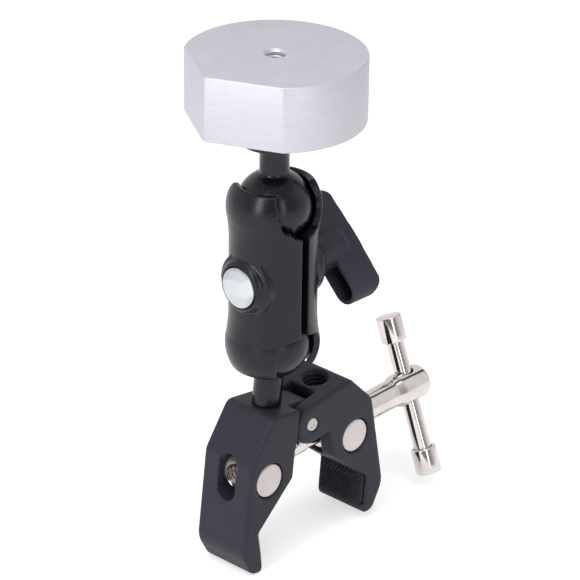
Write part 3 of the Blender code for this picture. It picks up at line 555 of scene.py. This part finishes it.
def makeBarrel(name, where, body, node, material, threaded):
    half, edge, radius = barrel["half"], barrel["edge"], barrel["radius"]
    profile = [(0, half - 0.12), (radius - edge - 1.2, half), (radius - edge, half), (radius, half - edge),
               (radius, edge - half), (radius - edge, -half), (radius - edge - 1.2, -half), (0, 0.12 - half)]
    turned = latheObject(name, profile, alongY, 96)
    cut(turned, rod("crossHole", barrel["holeRadius"], -20, 20, turn=alongX, sides=64))
    softEdges(turned, 0.25, 2, 40)
    place(turned, where, body, material, [node], 32)
    if threaded:
        ridge = threadRidge(name + "Thread", barrel["holeRadius"], -0.26, barrel["threadPitch"], -5.2, 5.2, alongX)
        place(ridge, where, body, brightNickel, sharpAngle=40)


makePin()
makeBarrel("rightBarrelTurned", screwFrame, "right_barrel", "right_trunnion", rightBarrelFace, False)
makeBarrel("leftBarrelTurned", leftBarrelFrame, "left_barrel", "left_trunnion", leftBarrelPaintedShadeFace, True)
print("pin and barrels turned")


# Clamp screw, ring and tee bar, distances along the screw from the right barrel
screw = {"threadRadius": 3.75, "root": 3.2, "relief": 3.3, "sleeve": 5.1, "head": 6.0, "sleeveEnd": 29.8,
         "headStart": 32.6, "headEnd": 45.0, "shoulder": 6.3, "threadEnd": -15.0, "pastNut": 1.2, "pitch": 1.5,
         "ringInner": 3.6, "ringOuter": 5.2, "ringStart": -7.5, "ringEnd": -6.3}
tee = {"radius": 3.15, "holeRadius": 3.75, "slip": 3.1, "span": 58.4, "capRadius": 4.6, "capLength": 9.4,
       "capBore": 6.9, "capMouth": 3.45, "gap": 0.3}


def makeScrew():
    shoulder = screw["shoulder"]
    tip = -nutDistance - screw["pastNut"]
    end, head, sleeve = screw["headEnd"], screw["head"], screw["sleeve"]
    profile = [(0, end), (head - 0.8, end), (head, end - 0.8), (head, screw["headStart"]),
               (sleeve, screw["sleeveEnd"]), (sleeve, shoulder + 0.4), (sleeve - 0.4, shoulder),
               (screw["relief"], shoulder), (screw["relief"], screw["threadEnd"]), (screw["root"], screw["threadEnd"]),
               (screw["root"], tip + 0.9), (screw["root"] - 0.9, tip), (0, tip)]
    turned = latheObject("clampScrewTurned", profile, alongX, 96)
    bm = bmesh.new()
    bm.from_mesh(turned.data)
    # the soft turned corners on both sides of the cone between sleeve and head
    rings = [e for e in bm.edges if radians(8) < e.calc_face_angle() < radians(60) and e.verts[0].co.x > 28]
    bmesh.ops.bevel(bm, geom=rings, offset=0.55, segments=4, profile=0.5, affect="EDGES", material=-1)
    bm.to_mesh(turned.data)
    bm.free()
    bore = rod("handleBore", tee["holeRadius"], -20, 20, sides=72)
    bore.data.transform(barTurn)
    cut(turned, bore)
    softEdges(turned, 0.3, 3, 48)
    place(turned, screwFrame, "screw", brightNickel, ["clamp_screw"], 34)
    ridge = threadRidge("clampScrewThread", screw["root"], screw["threadRadius"] - screw["root"], screw["pitch"],
                        tip + 1.6, screw["threadEnd"] - 0.8, alongX)
    place(ridge, screwFrame, "screw", brightNickel, sharpAngle=40)
    inner, outer, start, stop = screw["ringInner"], screw["ringOuter"], screw["ringStart"], screw["ringEnd"]
    ring = latheObject("screwRingTurned", [
        (inner, start), (outer, start), (outer, stop), (inner, stop), (inner, start)], alongX, 64)
    softEdges(ring, 0.15, 2, 40)
    place(ring, screwFrame, "screw", brightNickel, ["screw_ring"], 34)


def makeTeeBar():
    half = tee["span"] / 2
    slip = Matrix.Translation((0, 0, -tee["slip"]))
    reach = half - tee["capLength"] + tee["capBore"] - tee["gap"]
    thick, edge = tee["radius"], 0.3
    bar = latheObject("teeBarTurned", [(0, reach), (thick - edge, reach), (thick, reach - edge), (thick, edge - reach),
                                       (thick - edge, -reach), (0, -reach)], slip, 72)
    place(bar, barFrame, "handle_bar", brightNickel, ["tommy_bar"], 30)
    radius, inner, mouth = tee["capRadius"], tee["capMouth"], half - tee["capLength"]
    floor = mouth + tee["capBore"]
    for name, end, node in (("upperCap", 1, "bar_cap_upper"), ("lowerCap", -1, "bar_cap_lower")):
        profile = [(0, half), (radius, half), (radius, mouth), (inner, mouth), (inner, floor), (0, floor)]
        turn = slip if end > 0 else slip @ Matrix.Rotation(pi, 4, "X")
        cap = latheObject(name, profile, turn, 72)
        softEdges(cap, 0.55, 4, 60)
        place(cap, barFrame, "handle_bar", brightNickel, [node], 40)


makeScrew()
makeTeeBar()
print("screw and tee bar turned")


# Balls, necks and the camera puck
ball = {"radius": 12.7, "neck": 4.95, "spigot": 3.9, "fillet": 1.1, "arcSteps": 40, "foot": 22.75,
        "lowerSpigot": 9.5, "upperSpigot": 6.0, "puckAbove": 30.8, "flangeRadius": 11.6, "flangeHeight": 8.1}
puck = {"radius": 30.0, "height": 22.3, "flatDistance": 27.4, "flatAngles": (148.3, 204.7), "edge": 0.5,
        "cornerReach": 1.0, "flatReach": 0.6, "steps": 150, "threadRadius": 3.2, "threadDepth": 12.0,
        "pitch": 1.27, "socketRadius": 4.2, "socketDepth": 6.3}


def ballProfile():
    # from the top of the ball down to its neck, with the small fillet between them
    radius, neck, fillet = ball["radius"], ball["neck"], ball["fillet"]
    reachZ = -sqrt((radius + fillet) ** 2 - (neck + fillet) ** 2)
    meet = asin(-reachZ / (radius + fillet))
    arc = []
    for k in range(ball["arcSteps"] + 1):
        turn = pi / 2 - (pi / 2 + meet) * k / ball["arcSteps"]
        arc.append((radius * cos(turn), radius * sin(turn)))
    arc[0] = (0, radius)
    for k in range(1, 6):
        turn = pi - meet + meet * k / 5
        arc.append((neck + fillet + fillet * cos(turn), reachZ + fillet * sin(turn)))
    return arc


def makeStuds():
    neck, spigot = ball["neck"], ball["spigot"]
    foot = ball["foot"]
    lower = latheObject("lowerBallTurned", ballProfile() + [
        (neck, -foot + 0.4), (neck - 0.4, -foot), (spigot, -foot), (spigot, -foot - ball["lowerSpigot"]),
        (0, -foot - ball["lowerSpigot"])])
    place(lower, lowerBallFrame, "lower_ball", ballBlack, ["lower_ball_stud"], 32)
    top = ball["puckAbove"] - 0.3
    end = top + ball["upperSpigot"]
    flange, wide = top - ball["flangeHeight"], ball["flangeRadius"]
    profile = ballProfile() + [(neck, -flange + 1.0), (neck + 0.3, -flange + 0.3), (neck + 1.0, -flange),
                               (wide - 0.9, -flange), (wide - 0.25, -flange - 0.25), (wide, -flange - 0.9),
                               (wide, 0.4 - top), (wide - 0.4, -top), (spigot, -top), (spigot, -end), (0, -end)]
    upper = latheObject("upperBallTurned", profile, Matrix.Rotation(pi, 4, "X"))
    place(upper, upperBallFrame, "upper_ball", ballBlack, ["upper_ball_stud"], 32)


def makePuck():
    bottom = ball["puckAbove"]
    top = bottom + puck["height"]
    first, second = (radians(angle) for angle in puck["flatAngles"])
    halfFlat = acos(puck["flatDistance"] / puck["radius"])
    start, sweep = second + halfFlat, fullTurn - (second - first) - 2 * halfFlat
    # the round side, then the sharp corner that the two flats would make
    bm = bmesh.new()
    verts = [bm.verts.new((puck["radius"] * cos(start + sweep * k / puck["steps"]),
                           puck["radius"] * sin(start + sweep * k / puck["steps"]), bottom))
             for k in range(puck["steps"] + 1)]
    reach = puck["flatDistance"] / cos((second - first) / 2)
    middle = (first + second) / 2
    corner = bm.verts.new((reach * cos(middle), reach * sin(middle), bottom))
    bm.faces.new(verts + [corner])
    softVerts = [(corner, puck["cornerReach"]), (verts[0], puck["flatReach"]), (verts[-1], puck["flatReach"])]
    for vert, reach in softVerts:
        bmesh.ops.bevel(bm, geom=[vert], offset=reach, segments=6, profile=0.5, affect="VERTICES", material=-1)
    extrudeFaces(bm, bm.faces[:], (0, 0, puck["height"]))
    bmesh.ops.recalc_face_normals(bm, faces=bm.faces)
    rims = [e for e in bm.edges if e.calc_face_angle() > radians(60)]
    bmesh.ops.bevel(bm, geom=rims, offset=puck["edge"], segments=3, profile=0.5, affect="EDGES", material=-1)
    body = newObject("cameraPuckTurned", bm)
    radius, low, sink = puck["threadRadius"], top - puck["threadDepth"], 0.9
    bore = latheObject("cameraBore", [(0, top + 3), (radius + sink, top + 3), (radius + sink, top),
                                      (radius, top - sink), (radius, low), (0, low - 1.5)], steps=72)
    socket = rod("studSocket", puck["socketRadius"], bottom - 3, bottom + puck["socketDepth"])
    cut(body, bore, socket)
    place(body, upperBallFrame, "puck", turnedAluminium, ["camera_puck"], 20)
    ridge = threadRidge("cameraBoreThread", radius, -0.35, puck["pitch"], low + 0.5, top - 1.5)
    place(ridge, upperBallFrame, "puck", turnedAluminium, sharpAngle=40)


makeStuds()
makePuck()
ridge = threadRidge("accessoryBoreThread", jaw["holeRadius"], -0.5, jaw["holePitch"], jaw["top"] - 9.4,
                    jaw["top"] - 1.1, Matrix.Translation((jaw["holeX"], 0, 0)))
place(ridge, rightJawFrame, "right_half", clampBlack, sharpAngle=40)
print("studs and puck turned")


# Arm: two cast shells, bolt, spring and wing knob, about the bolt
arm = {"spacing": 49.1, "cup": 15.85, "socket": 13.55, "upperLip": 8.7, "lowerLip": 8.3, "lipRound": 1.1,
       "waist": 14.75, "split": 3.0, "notchPoint": 3.0, "notchPlane": 12.4, "bossFace": 16.2, "bossRadius": 9.0,
       "bossRound": 1.8, "bossFillet": 2.2, "voxel": 0.34, "softening": 5, "pocketRadius": 6.3, "pocketDepth": 8.4,
       "boltRadius": 2.95, "headRadius": 6.95}

# Notch outlines of the upper (1) and lower (-1) cup, at notchPlane: x, z towards the mouth, corner radius
notch = {1: [(-21, 26, 0), (21, 26, 0), (12.4, 6.2, 6.0), (10.9, 1.4, 6.0), (8.9, -3.4, 4.0), (4.0, -6.3, 9.0),
             (0, -8.2, 6.0), (-4.0, -6.3, 9.0), (-8.9, -3.4, 4.0), (-10.9, 1.4, 6.0), (-12.4, 6.2, 6.0)],
         -1: [(-16, 26, 0), (16, 26, 0), (11.1, 8.0, 8.0), (11.15, -2.9, 5.5), (4.5, -5.5, 9.0), (0, -6.6, 8.0),
              (-4.5, -5.5, 9.0), (-11.15, -2.9, 5.5), (-11.1, 8.0, 8.0)]}


def cupProfile(lip):
    # one end of the shell, from the ball's centre out over the lip and down to the waist, heights from that centre
    cup, rounding = arm["cup"], arm["lipRound"]
    # the lip's face points at the ball's centre, and its rounding touches the cup's outer sphere
    reach = sqrt((cup - rounding) ** 2 - (lip - rounding) ** 2)
    topTurn = asin((lip - rounding) / (cup - rounding))
    lowTurn = -radians(14)
    spots = [(0, 0)]
    for k in range(9):
        turn = topTurn + pi / 2 * (1 - k / 8)
        spots.append((reach + rounding * cos(turn), lip - rounding + rounding * sin(turn)))
    for k in range(1, 17):
        turn = topTurn + (lowTurn - topTurn) * k / 16
        spots.append((cup * cos(turn), cup * sin(turn)))
    return spots + [(15.2, -5.4), (15.02, -6.8), (14.88, -8.4), (arm["waist"], -10.4)]


def shellProfile():
    half = arm["spacing"] / 2
    upper = [(radius, half + height) for radius, height in cupProfile(arm["upperLip"])]
    lower = [(radius, -half - height) for radius, height in reversed(cupProfile(arm["lowerLip"]))]
    return upper + lower


def notchTool(end, side):
    # level above and below, and wider outwards, so that the side walls of the notch are flared
    reach, start, plane = 30.0, arm["notchPoint"], arm["notchPlane"]
    bm = bmesh.new()
    plate(bm, notch[end], reach / 2, 12)
    for outer, spot in ((True, start + reach), (False, start + 1.0)):
        verts = [vert for vert in bm.verts if (vert.co.y < 0) == outer]
        bmesh.ops.scale(bm, verts=verts, vec=((spot - start) / (plane - start), 1, 1))
        bmesh.ops.translate(bm, verts=verts, vec=(0, (reach / 2 if outer else -reach / 2) - spot, 0))
    turn = Matrix.Translation((0, 0, end * arm["spacing"] / 2))
    if end < 0:
        turn = turn @ Matrix.Rotation(pi, 4, "Y")
    if side > 0:
        turn = turn @ Matrix.Rotation(pi, 4, "Z")
    bmesh.ops.transform(bm, matrix=turn, verts=bm.verts)
    return newObject("notch", bm)


def makeShell(name, side, body, node):
    half = arm["spacing"] / 2
    shell = latheObject(name, shellProfile(), steps=128)
    face, wide = arm["bossFace"], arm["bossRadius"]
    # a rounded shoulder that runs steeply down into a fillet
    shoulder, fillet, steep = arm["bossRound"], arm["bossFillet"], radians(20)
    flare = [(0, face)]
    for k in range(9):
        turn = pi / 2 + (steep - pi / 2) * k / 8
        flare.append((wide - shoulder + shoulder * cos(turn), face - shoulder + shoulder * sin(turn)))
    middle = (wide - shoulder + (shoulder + fillet) * cos(steep), face - shoulder + (shoulder + fillet) * sin(steep))
    for k in range(1, 11):
        turn = pi + steep + (pi / 2 - steep) * k / 10
        flare.append((middle[0] + fillet * cos(turn), middle[1] + fillet * sin(turn)))
    flare += [(middle[0], 6), (0, 6)]
    boss = latheObject("boss", flare, alongX, 72)
    if side < 0:
        boss.data.transform(Matrix.Rotation(pi, 4, "Z"))
    cut(shell, boss, operation="UNION", solver="MANIFOLD")
    inner = arm["split"] / 2
    lowX, highX = (-inner, 40) if side < 0 else (-40, inner)
    tools = [block("split", (lowX, -40, -60), (highX, 40, 60))]
    for end in (-1, 1):
        socket = latheObject("socket", [(arm["socket"] * sin(pi * k / 48), arm["socket"] * cos(pi * k / 48))
                                        for k in range(49)], Matrix.Translation((0, 0, end * half)), 72)
        tools += [socket, notchTool(end, -1), notchTool(end, 1)]
    depth = arm["pocketDepth"]
    tools.append(rod("springPocket", arm["pocketRadius"], -depth, depth, turn=alongX))
    hole = arm["boltRadius"] + 0.3
    if side < 0:
        tools += [block("squareHole", (-30, -hole, -hole), (0, hole, hole)),
                  rod("headSeat", arm["headRadius"] + 0.35, -30, -face + 0.9, turn=alongX)]
    else:
        tools.append(rod("boltHole", hole, 0, 30, turn=alongX))
    cut(shell, *tools, solver="MANIFOLD")
    castSkin(shell, arm["voxel"], arm["softening"])
    return place(shell, armFrame, body, shellBlack, [node])


def makeBolt():
    seat = arm["bossFace"] - 0.6
    rim, wide, shank = seat + 1.25, arm["headRadius"], arm["boltRadius"] - 0.05
    profile = [(0, rim + 0.34), (wide * 0.5, rim + 0.28), (wide * 0.8, rim + 0.16), (wide - 0.45, rim + 0.05),
               (wide - 0.13, rim - 0.1), (wide, rim - 0.4), (wide, seat), (shank, seat), (shank, -31), (0, -31.8)]
    turn = Matrix.Rotation(pi, 4, "Z") @ alongX
    bolt = latheObject("carriageBolt", profile, turn, 96)
    half = arm["boltRadius"]
    cut(bolt, block("squareNeck", (-seat - 0.2, -half, -half), (4 - seat, half, half)), operation="UNION")
    place(bolt, armFrame, "arm", brightZinc, ["arm_bolt"], 34)
    ridge = threadRidge("carriageBoltThread", shank, 0.28, 1.0, 12.0, 17.4, alongX)
    place(ridge, armFrame, "arm", brightZinc, sharpAngle=40)


def makeSpring():
    turns, wire, coil = 5, 0.55, 4.9
    half = arm["pocketDepth"] - 0.3 - wire
    bm = bmesh.new()
    made = bmesh.ops.create_circle(bm, cap_ends=True, segments=12, radius=wire,
                                   matrix=Matrix.Translation((coil, 0, -half)) @ Matrix.Rotation(pi / 2, 4, "X"))
    faces = bm.faces[:]
    steps = turns * 32
    bmesh.ops.spin(bm, geom=faces + bm.edges[:] + made["verts"], cent=(0, 0, 0), axis=(0, 0, 1),
                   dvec=(0, 0, 2 * half / steps), angle=turns * fullTurn, steps=steps, use_merge=False)
    bmesh.ops.recalc_face_normals(bm, faces=bm.faces)
    bmesh.ops.transform(bm, matrix=alongX, verts=bm.verts)
    place(newObject("shellSpring", bm), armFrame, "arm", springSteel, ["arm_spring"], 50)


knob = {"hubStart": 18.2, "hubEnd": 31.5, "hubRadius": 6.4, "bore": 3.25, "nutRadius": 5.0, "nutLength": 5.0,
        "washerRadius": 7.0, "washerThickness": 1.2, "wingStart": 23.0, "wingEnd": 36.8, "sag": 0.9,
        "corner": 4.5, "halfLength": 20.0, "halfWidth": 4.6, "wall": 1.3, "voxel": 0.3, "softening": 3}


def makeKnob():
    length, width = knob["halfLength"], knob["halfWidth"]
    start, end = knob["wingStart"], knob["wingEnd"]
    oval = roundedBox(length, width, width * 0.99)
    upright = Matrix(((0, -1, 0, (start + end) / 2), (1, 0, 0, 0), (0, 0, 1, 0), (0, 0, 0, 1)))
    wing = plateObject("wingKnobMoulded", oval, (end - start) / 2, upright, arcSteps=14)
    crown = [(-length - 1, start - 1, 0), (length + 1, start - 1, 0), (length, end - knob["sag"], knob["corner"]),
             (0, end, 60), (-length, end - knob["sag"], knob["corner"])]
    facing = Matrix(((0, 0, 1, 0), (1, 0, 0, 0), (0, 1, 0, 0), (0, 0, 0, 1)))
    cut(wing, plateObject("crown", crown, 2 * width, facing, arcSteps=12), operation="INTERSECT")
    hollow = width - knob["wall"]
    pockets = []
    for side in (-1, 1):
        near, far = knob["hubRadius"] - 0.6, length - knob["wall"]
        spots = [(side * near, -hollow, 0.8), (side * far, -hollow, hollow * 0.99),
                 (side * far, hollow, hollow * 0.99), (side * near, hollow, 0.8)]
        inward = Matrix(((0, -1, 0, end - 9), (1, 0, 0, 0), (0, 0, 1, 0), (0, 0, 0, 1)))
        pockets.append(plateObject("wingPocket", spots, 7, inward))
    cut(wing, *pockets)
    radius, low, high, bore = knob["hubRadius"], knob["hubStart"], knob["hubEnd"], knob["bore"]
    hub = latheObject("hub", [(0, high), (radius - 1.6, high), (radius - 0.5, high - 0.6), (radius, high - 1.9),
                              (radius, low + 0.5), (radius - 0.5, low), (0, low)], alongX, 96)
    cut(wing, hub, operation="UNION")
    cut(wing, rod("knobBore", bore, low - 2, high + 1.5, turn=alongX),
        rod("nutPocket", 5.4, low - 2, low + 5.7, turn=alongX, sides=6))
    castSkin(wing, knob["voxel"], knob["softening"])
    place(wing, knobFrame, "knob", knobBlack, ["knob_wing"])
    nutStart = low + 0.4
    nut = rod("knobHexNut", knob["nutRadius"], nutStart, nutStart + knob["nutLength"], turn=alongX, sides=6)
    cut(nut, rod("nutBore", bore, low - 1, low + 7, turn=alongX, sides=48))
    softEdges(nut, 0.25, 2, 40)
    place(nut, knobFrame, "knob", brightNickel, ["knob_nut"], 34)
    near, wide = arm["bossFace"] + 0.3, knob["washerRadius"]
    far = near + knob["washerThickness"]
    washer = latheObject("knobFlatWasher", [(bore, near), (wide, near), (wide, far), (bore, far), (bore, near)],
                         alongX, 72)
    softEdges(washer, 0.2, 2, 40)
    place(washer, knobFrame, "knob", blackOxide, ["knob_washer"], 34)


makeShell("leftShellCasting", -1, "arm", "arm_shell_left")
makeShell("rightShellCasting", 1, "right_shell", "arm_shell_right")
makeBolt()
makeSpring()
makeKnob()
print("arm and knob made")


# Floor, light and camera
studio = {"floorHex": "#f2f2f2", "floorGlow": 0.5, "floorDrop": 0.0012, "worldLevel": 0.4, "glossyFront": 0.24,
          "glossyBack": 0.93, "gapSide": -50.0, "gapWidth": 0.13, "gapLevel": 0.03}

# Softboxes: degrees to the right of the camera, elevation, distance, width and height in metres, power
softboxes = {"leftSoftbox": (-37, 22, 1.1, 0.2, 0.8, 5.0), "rightSoftbox": (28, 16, 1.1, 0.2, 0.8, 1.7),
             "topSoftbox": (-10, 70, 1.0, 0.8, 0.8, 4.4)}

# The camera fitted to the photograph: degrees, millimetres, and its focal length in the photograph's pixels
view = {"azimuth": 46.6608, "elevation": 25.499, "roll": 0.8244, "focalPixels": 3474.6, "framePixels": 580,
        "sensor": 36, "distance": 1153.44, "across": 5.8711, "up": 16.9235, "shift": (-9.93, 0, 66.5)}


def makeFloor():
    bm = bmesh.new()
    bmesh.ops.create_grid(bm, x_segments=1, y_segments=1, size=6.0)
    bmesh.ops.translate(bm, verts=bm.verts, vec=(0, 0, cadBox[0][2] - studio["floorDrop"]))
    floor = newObject("floor", bm)
    # matt white sweep that lies in even light and still shows the shadow
    material, tree, shader = newMaterial("paperSweep", {"Roughness": 0.9, "Specular IOR Level": 0.1})
    shader.inputs["Base Color"].default_value = hexToLinear(studio["floorHex"])
    rays = addNode(tree, "ShaderNodeLightPath").outputs
    seen = addNode(tree, "ShaderNodeMath", {"operation": "MAXIMUM"}, {
        0: rays["Is Camera Ray"], 1: rays["Is Glossy Ray"]})
    seen = addNode(tree, "ShaderNodeMath", {"operation": "MAXIMUM"}, {0: seen, 1: rays["Is Transmission Ray"]})
    seen = addNode(tree, "ShaderNodeMath", {"operation": "MULTIPLY"}, {0: seen, 1: studio["floorGlow"]})
    glow = addNode(tree, "ShaderNodeEmission", inputs={"Color": (1, 1, 1, 1), "Strength": seen})
    both = addNode(tree, "ShaderNodeAddShader", inputs={0: shader, 1: glow})
    tree.links.new(both.outputs[0], tree.nodes["Material Output"].inputs["Surface"])
    floor.data.materials.append(material)


def levelAim(side):
    # level direction this many degrees to the right of the camera, as seen from the object
    turn = radians(-90 - view["azimuth"] + side)
    return cos(turn), sin(turn), 0.0


def makeWorld():
    world = bpy.data.worlds.new("studio")
    world.use_nodes = True
    bpy.context.scene.world = world
    tree = world.node_tree
    back = tree.nodes["Background"]
    rays = addNode(tree, "ShaderNodeLightPath").outputs
    heading = addNode(tree, "ShaderNodeTexCoord").outputs["Generated"]
    # polished metal sees a white room that darkens towards the camera
    toward = addNode(tree, "ShaderNodeVectorMath", {"operation": "DOT_PRODUCT"}, {
        0: heading, 1: levelAim(0)}).outputs["Value"]
    room = addNode(tree, "ShaderNodeMapRange", {"interpolation_type": "SMOOTHSTEP"}, {
        "Value": toward, "From Min": -0.1, "From Max": 0.95,
        "To Min": studio["glossyBack"], "To Max": studio["glossyFront"]})
    # and the narrow dark gap between the light panels, which runs up over the object
    offGap = addNode(tree, "ShaderNodeVectorMath", {"operation": "DOT_PRODUCT"}, {
        0: heading, 1: levelAim(studio["gapSide"] + 90)}).outputs["Value"]
    offGap = addNode(tree, "ShaderNodeMath", {"operation": "ABSOLUTE"}, {0: offGap})
    clear = addNode(tree, "ShaderNodeMapRange", {"interpolation_type": "SMOOTHSTEP"}, {
        "Value": offGap, "From Min": studio["gapWidth"] / 2, "From Max": studio["gapWidth"],
        "To Min": studio["gapLevel"], "To Max": 1.0})
    room = addNode(tree, "ShaderNodeMath", {"operation": "MULTIPLY"}, {0: room, 1: clear})
    level = addNode(tree, "ShaderNodeMix", {"data_type": "FLOAT"}, {
        0: rays["Is Glossy Ray"], 2: studio["worldLevel"], 3: room})
    seen = addNode(tree, "ShaderNodeMath", {"operation": "MAXIMUM"}, {0: rays["Is Camera Ray"], 1: level})
    tree.links.new(seen.outputs[0], back.inputs["Strength"])
    back.inputs["Color"].default_value = (1, 1, 1, 1)


def softbox(name, side, elevation, distance, width, height, power):
    # aimed at the middle of the object
    middle = Vector((0, 0, 0.08))
    toLight = Vector(levelAim(side)) * cos(radians(elevation)) + Vector((0, 0, sin(radians(elevation))))
    lamp = bpy.data.lights.new(name, "AREA")
    lamp.shape = "RECTANGLE"
    lamp.size = width
    lamp.size_y = height
    lamp.energy = power
    holder = bpy.data.objects.new(name, lamp)
    holder.location = middle + toLight * distance
    holder.rotation_euler = toLight.to_track_quat("Z", "Y").to_euler()
    bpy.context.scene.collection.objects.link(holder)


def makeCamera():
    az, el, ro = radians(view["azimuth"]), radians(view["elevation"]), radians(view["roll"])
    toCamera = Vector((-sin(az) * cos(el), -cos(az) * cos(el), sin(el)))
    flatRight = Vector((cos(az), -sin(az), 0))
    flatUp = Vector((sin(az) * sin(el), cos(az) * sin(el), cos(el)))
    right = flatRight * cos(ro) + flatUp * sin(ro)
    up = flatUp * cos(ro) - flatRight * sin(ro)
    spot = toCamera * view["distance"] + right * view["across"] + up * view["up"] + Vector(view["shift"])
    lens = bpy.data.cameras.new("photoCamera")
    lens.sensor_width = view["sensor"]
    lens.lens = view["focalPixels"] * view["sensor"] / view["framePixels"]
    camera = bpy.data.objects.new("photoCamera", lens)
    turn = Matrix((right, up, toCamera)).transposed().to_4x4()
    camera.matrix_world = Matrix.Translation(spot * mm) @ turn
    bpy.context.scene.collection.objects.link(camera)
    bpy.context.scene.camera = camera


makeFloor()
makeWorld()
for name, settings in softboxes.items():
    softbox(name, *settings)
makeCamera()
bpy.context.scene.view_settings.view_transform = "Standard"
print("floor, light and camera set")
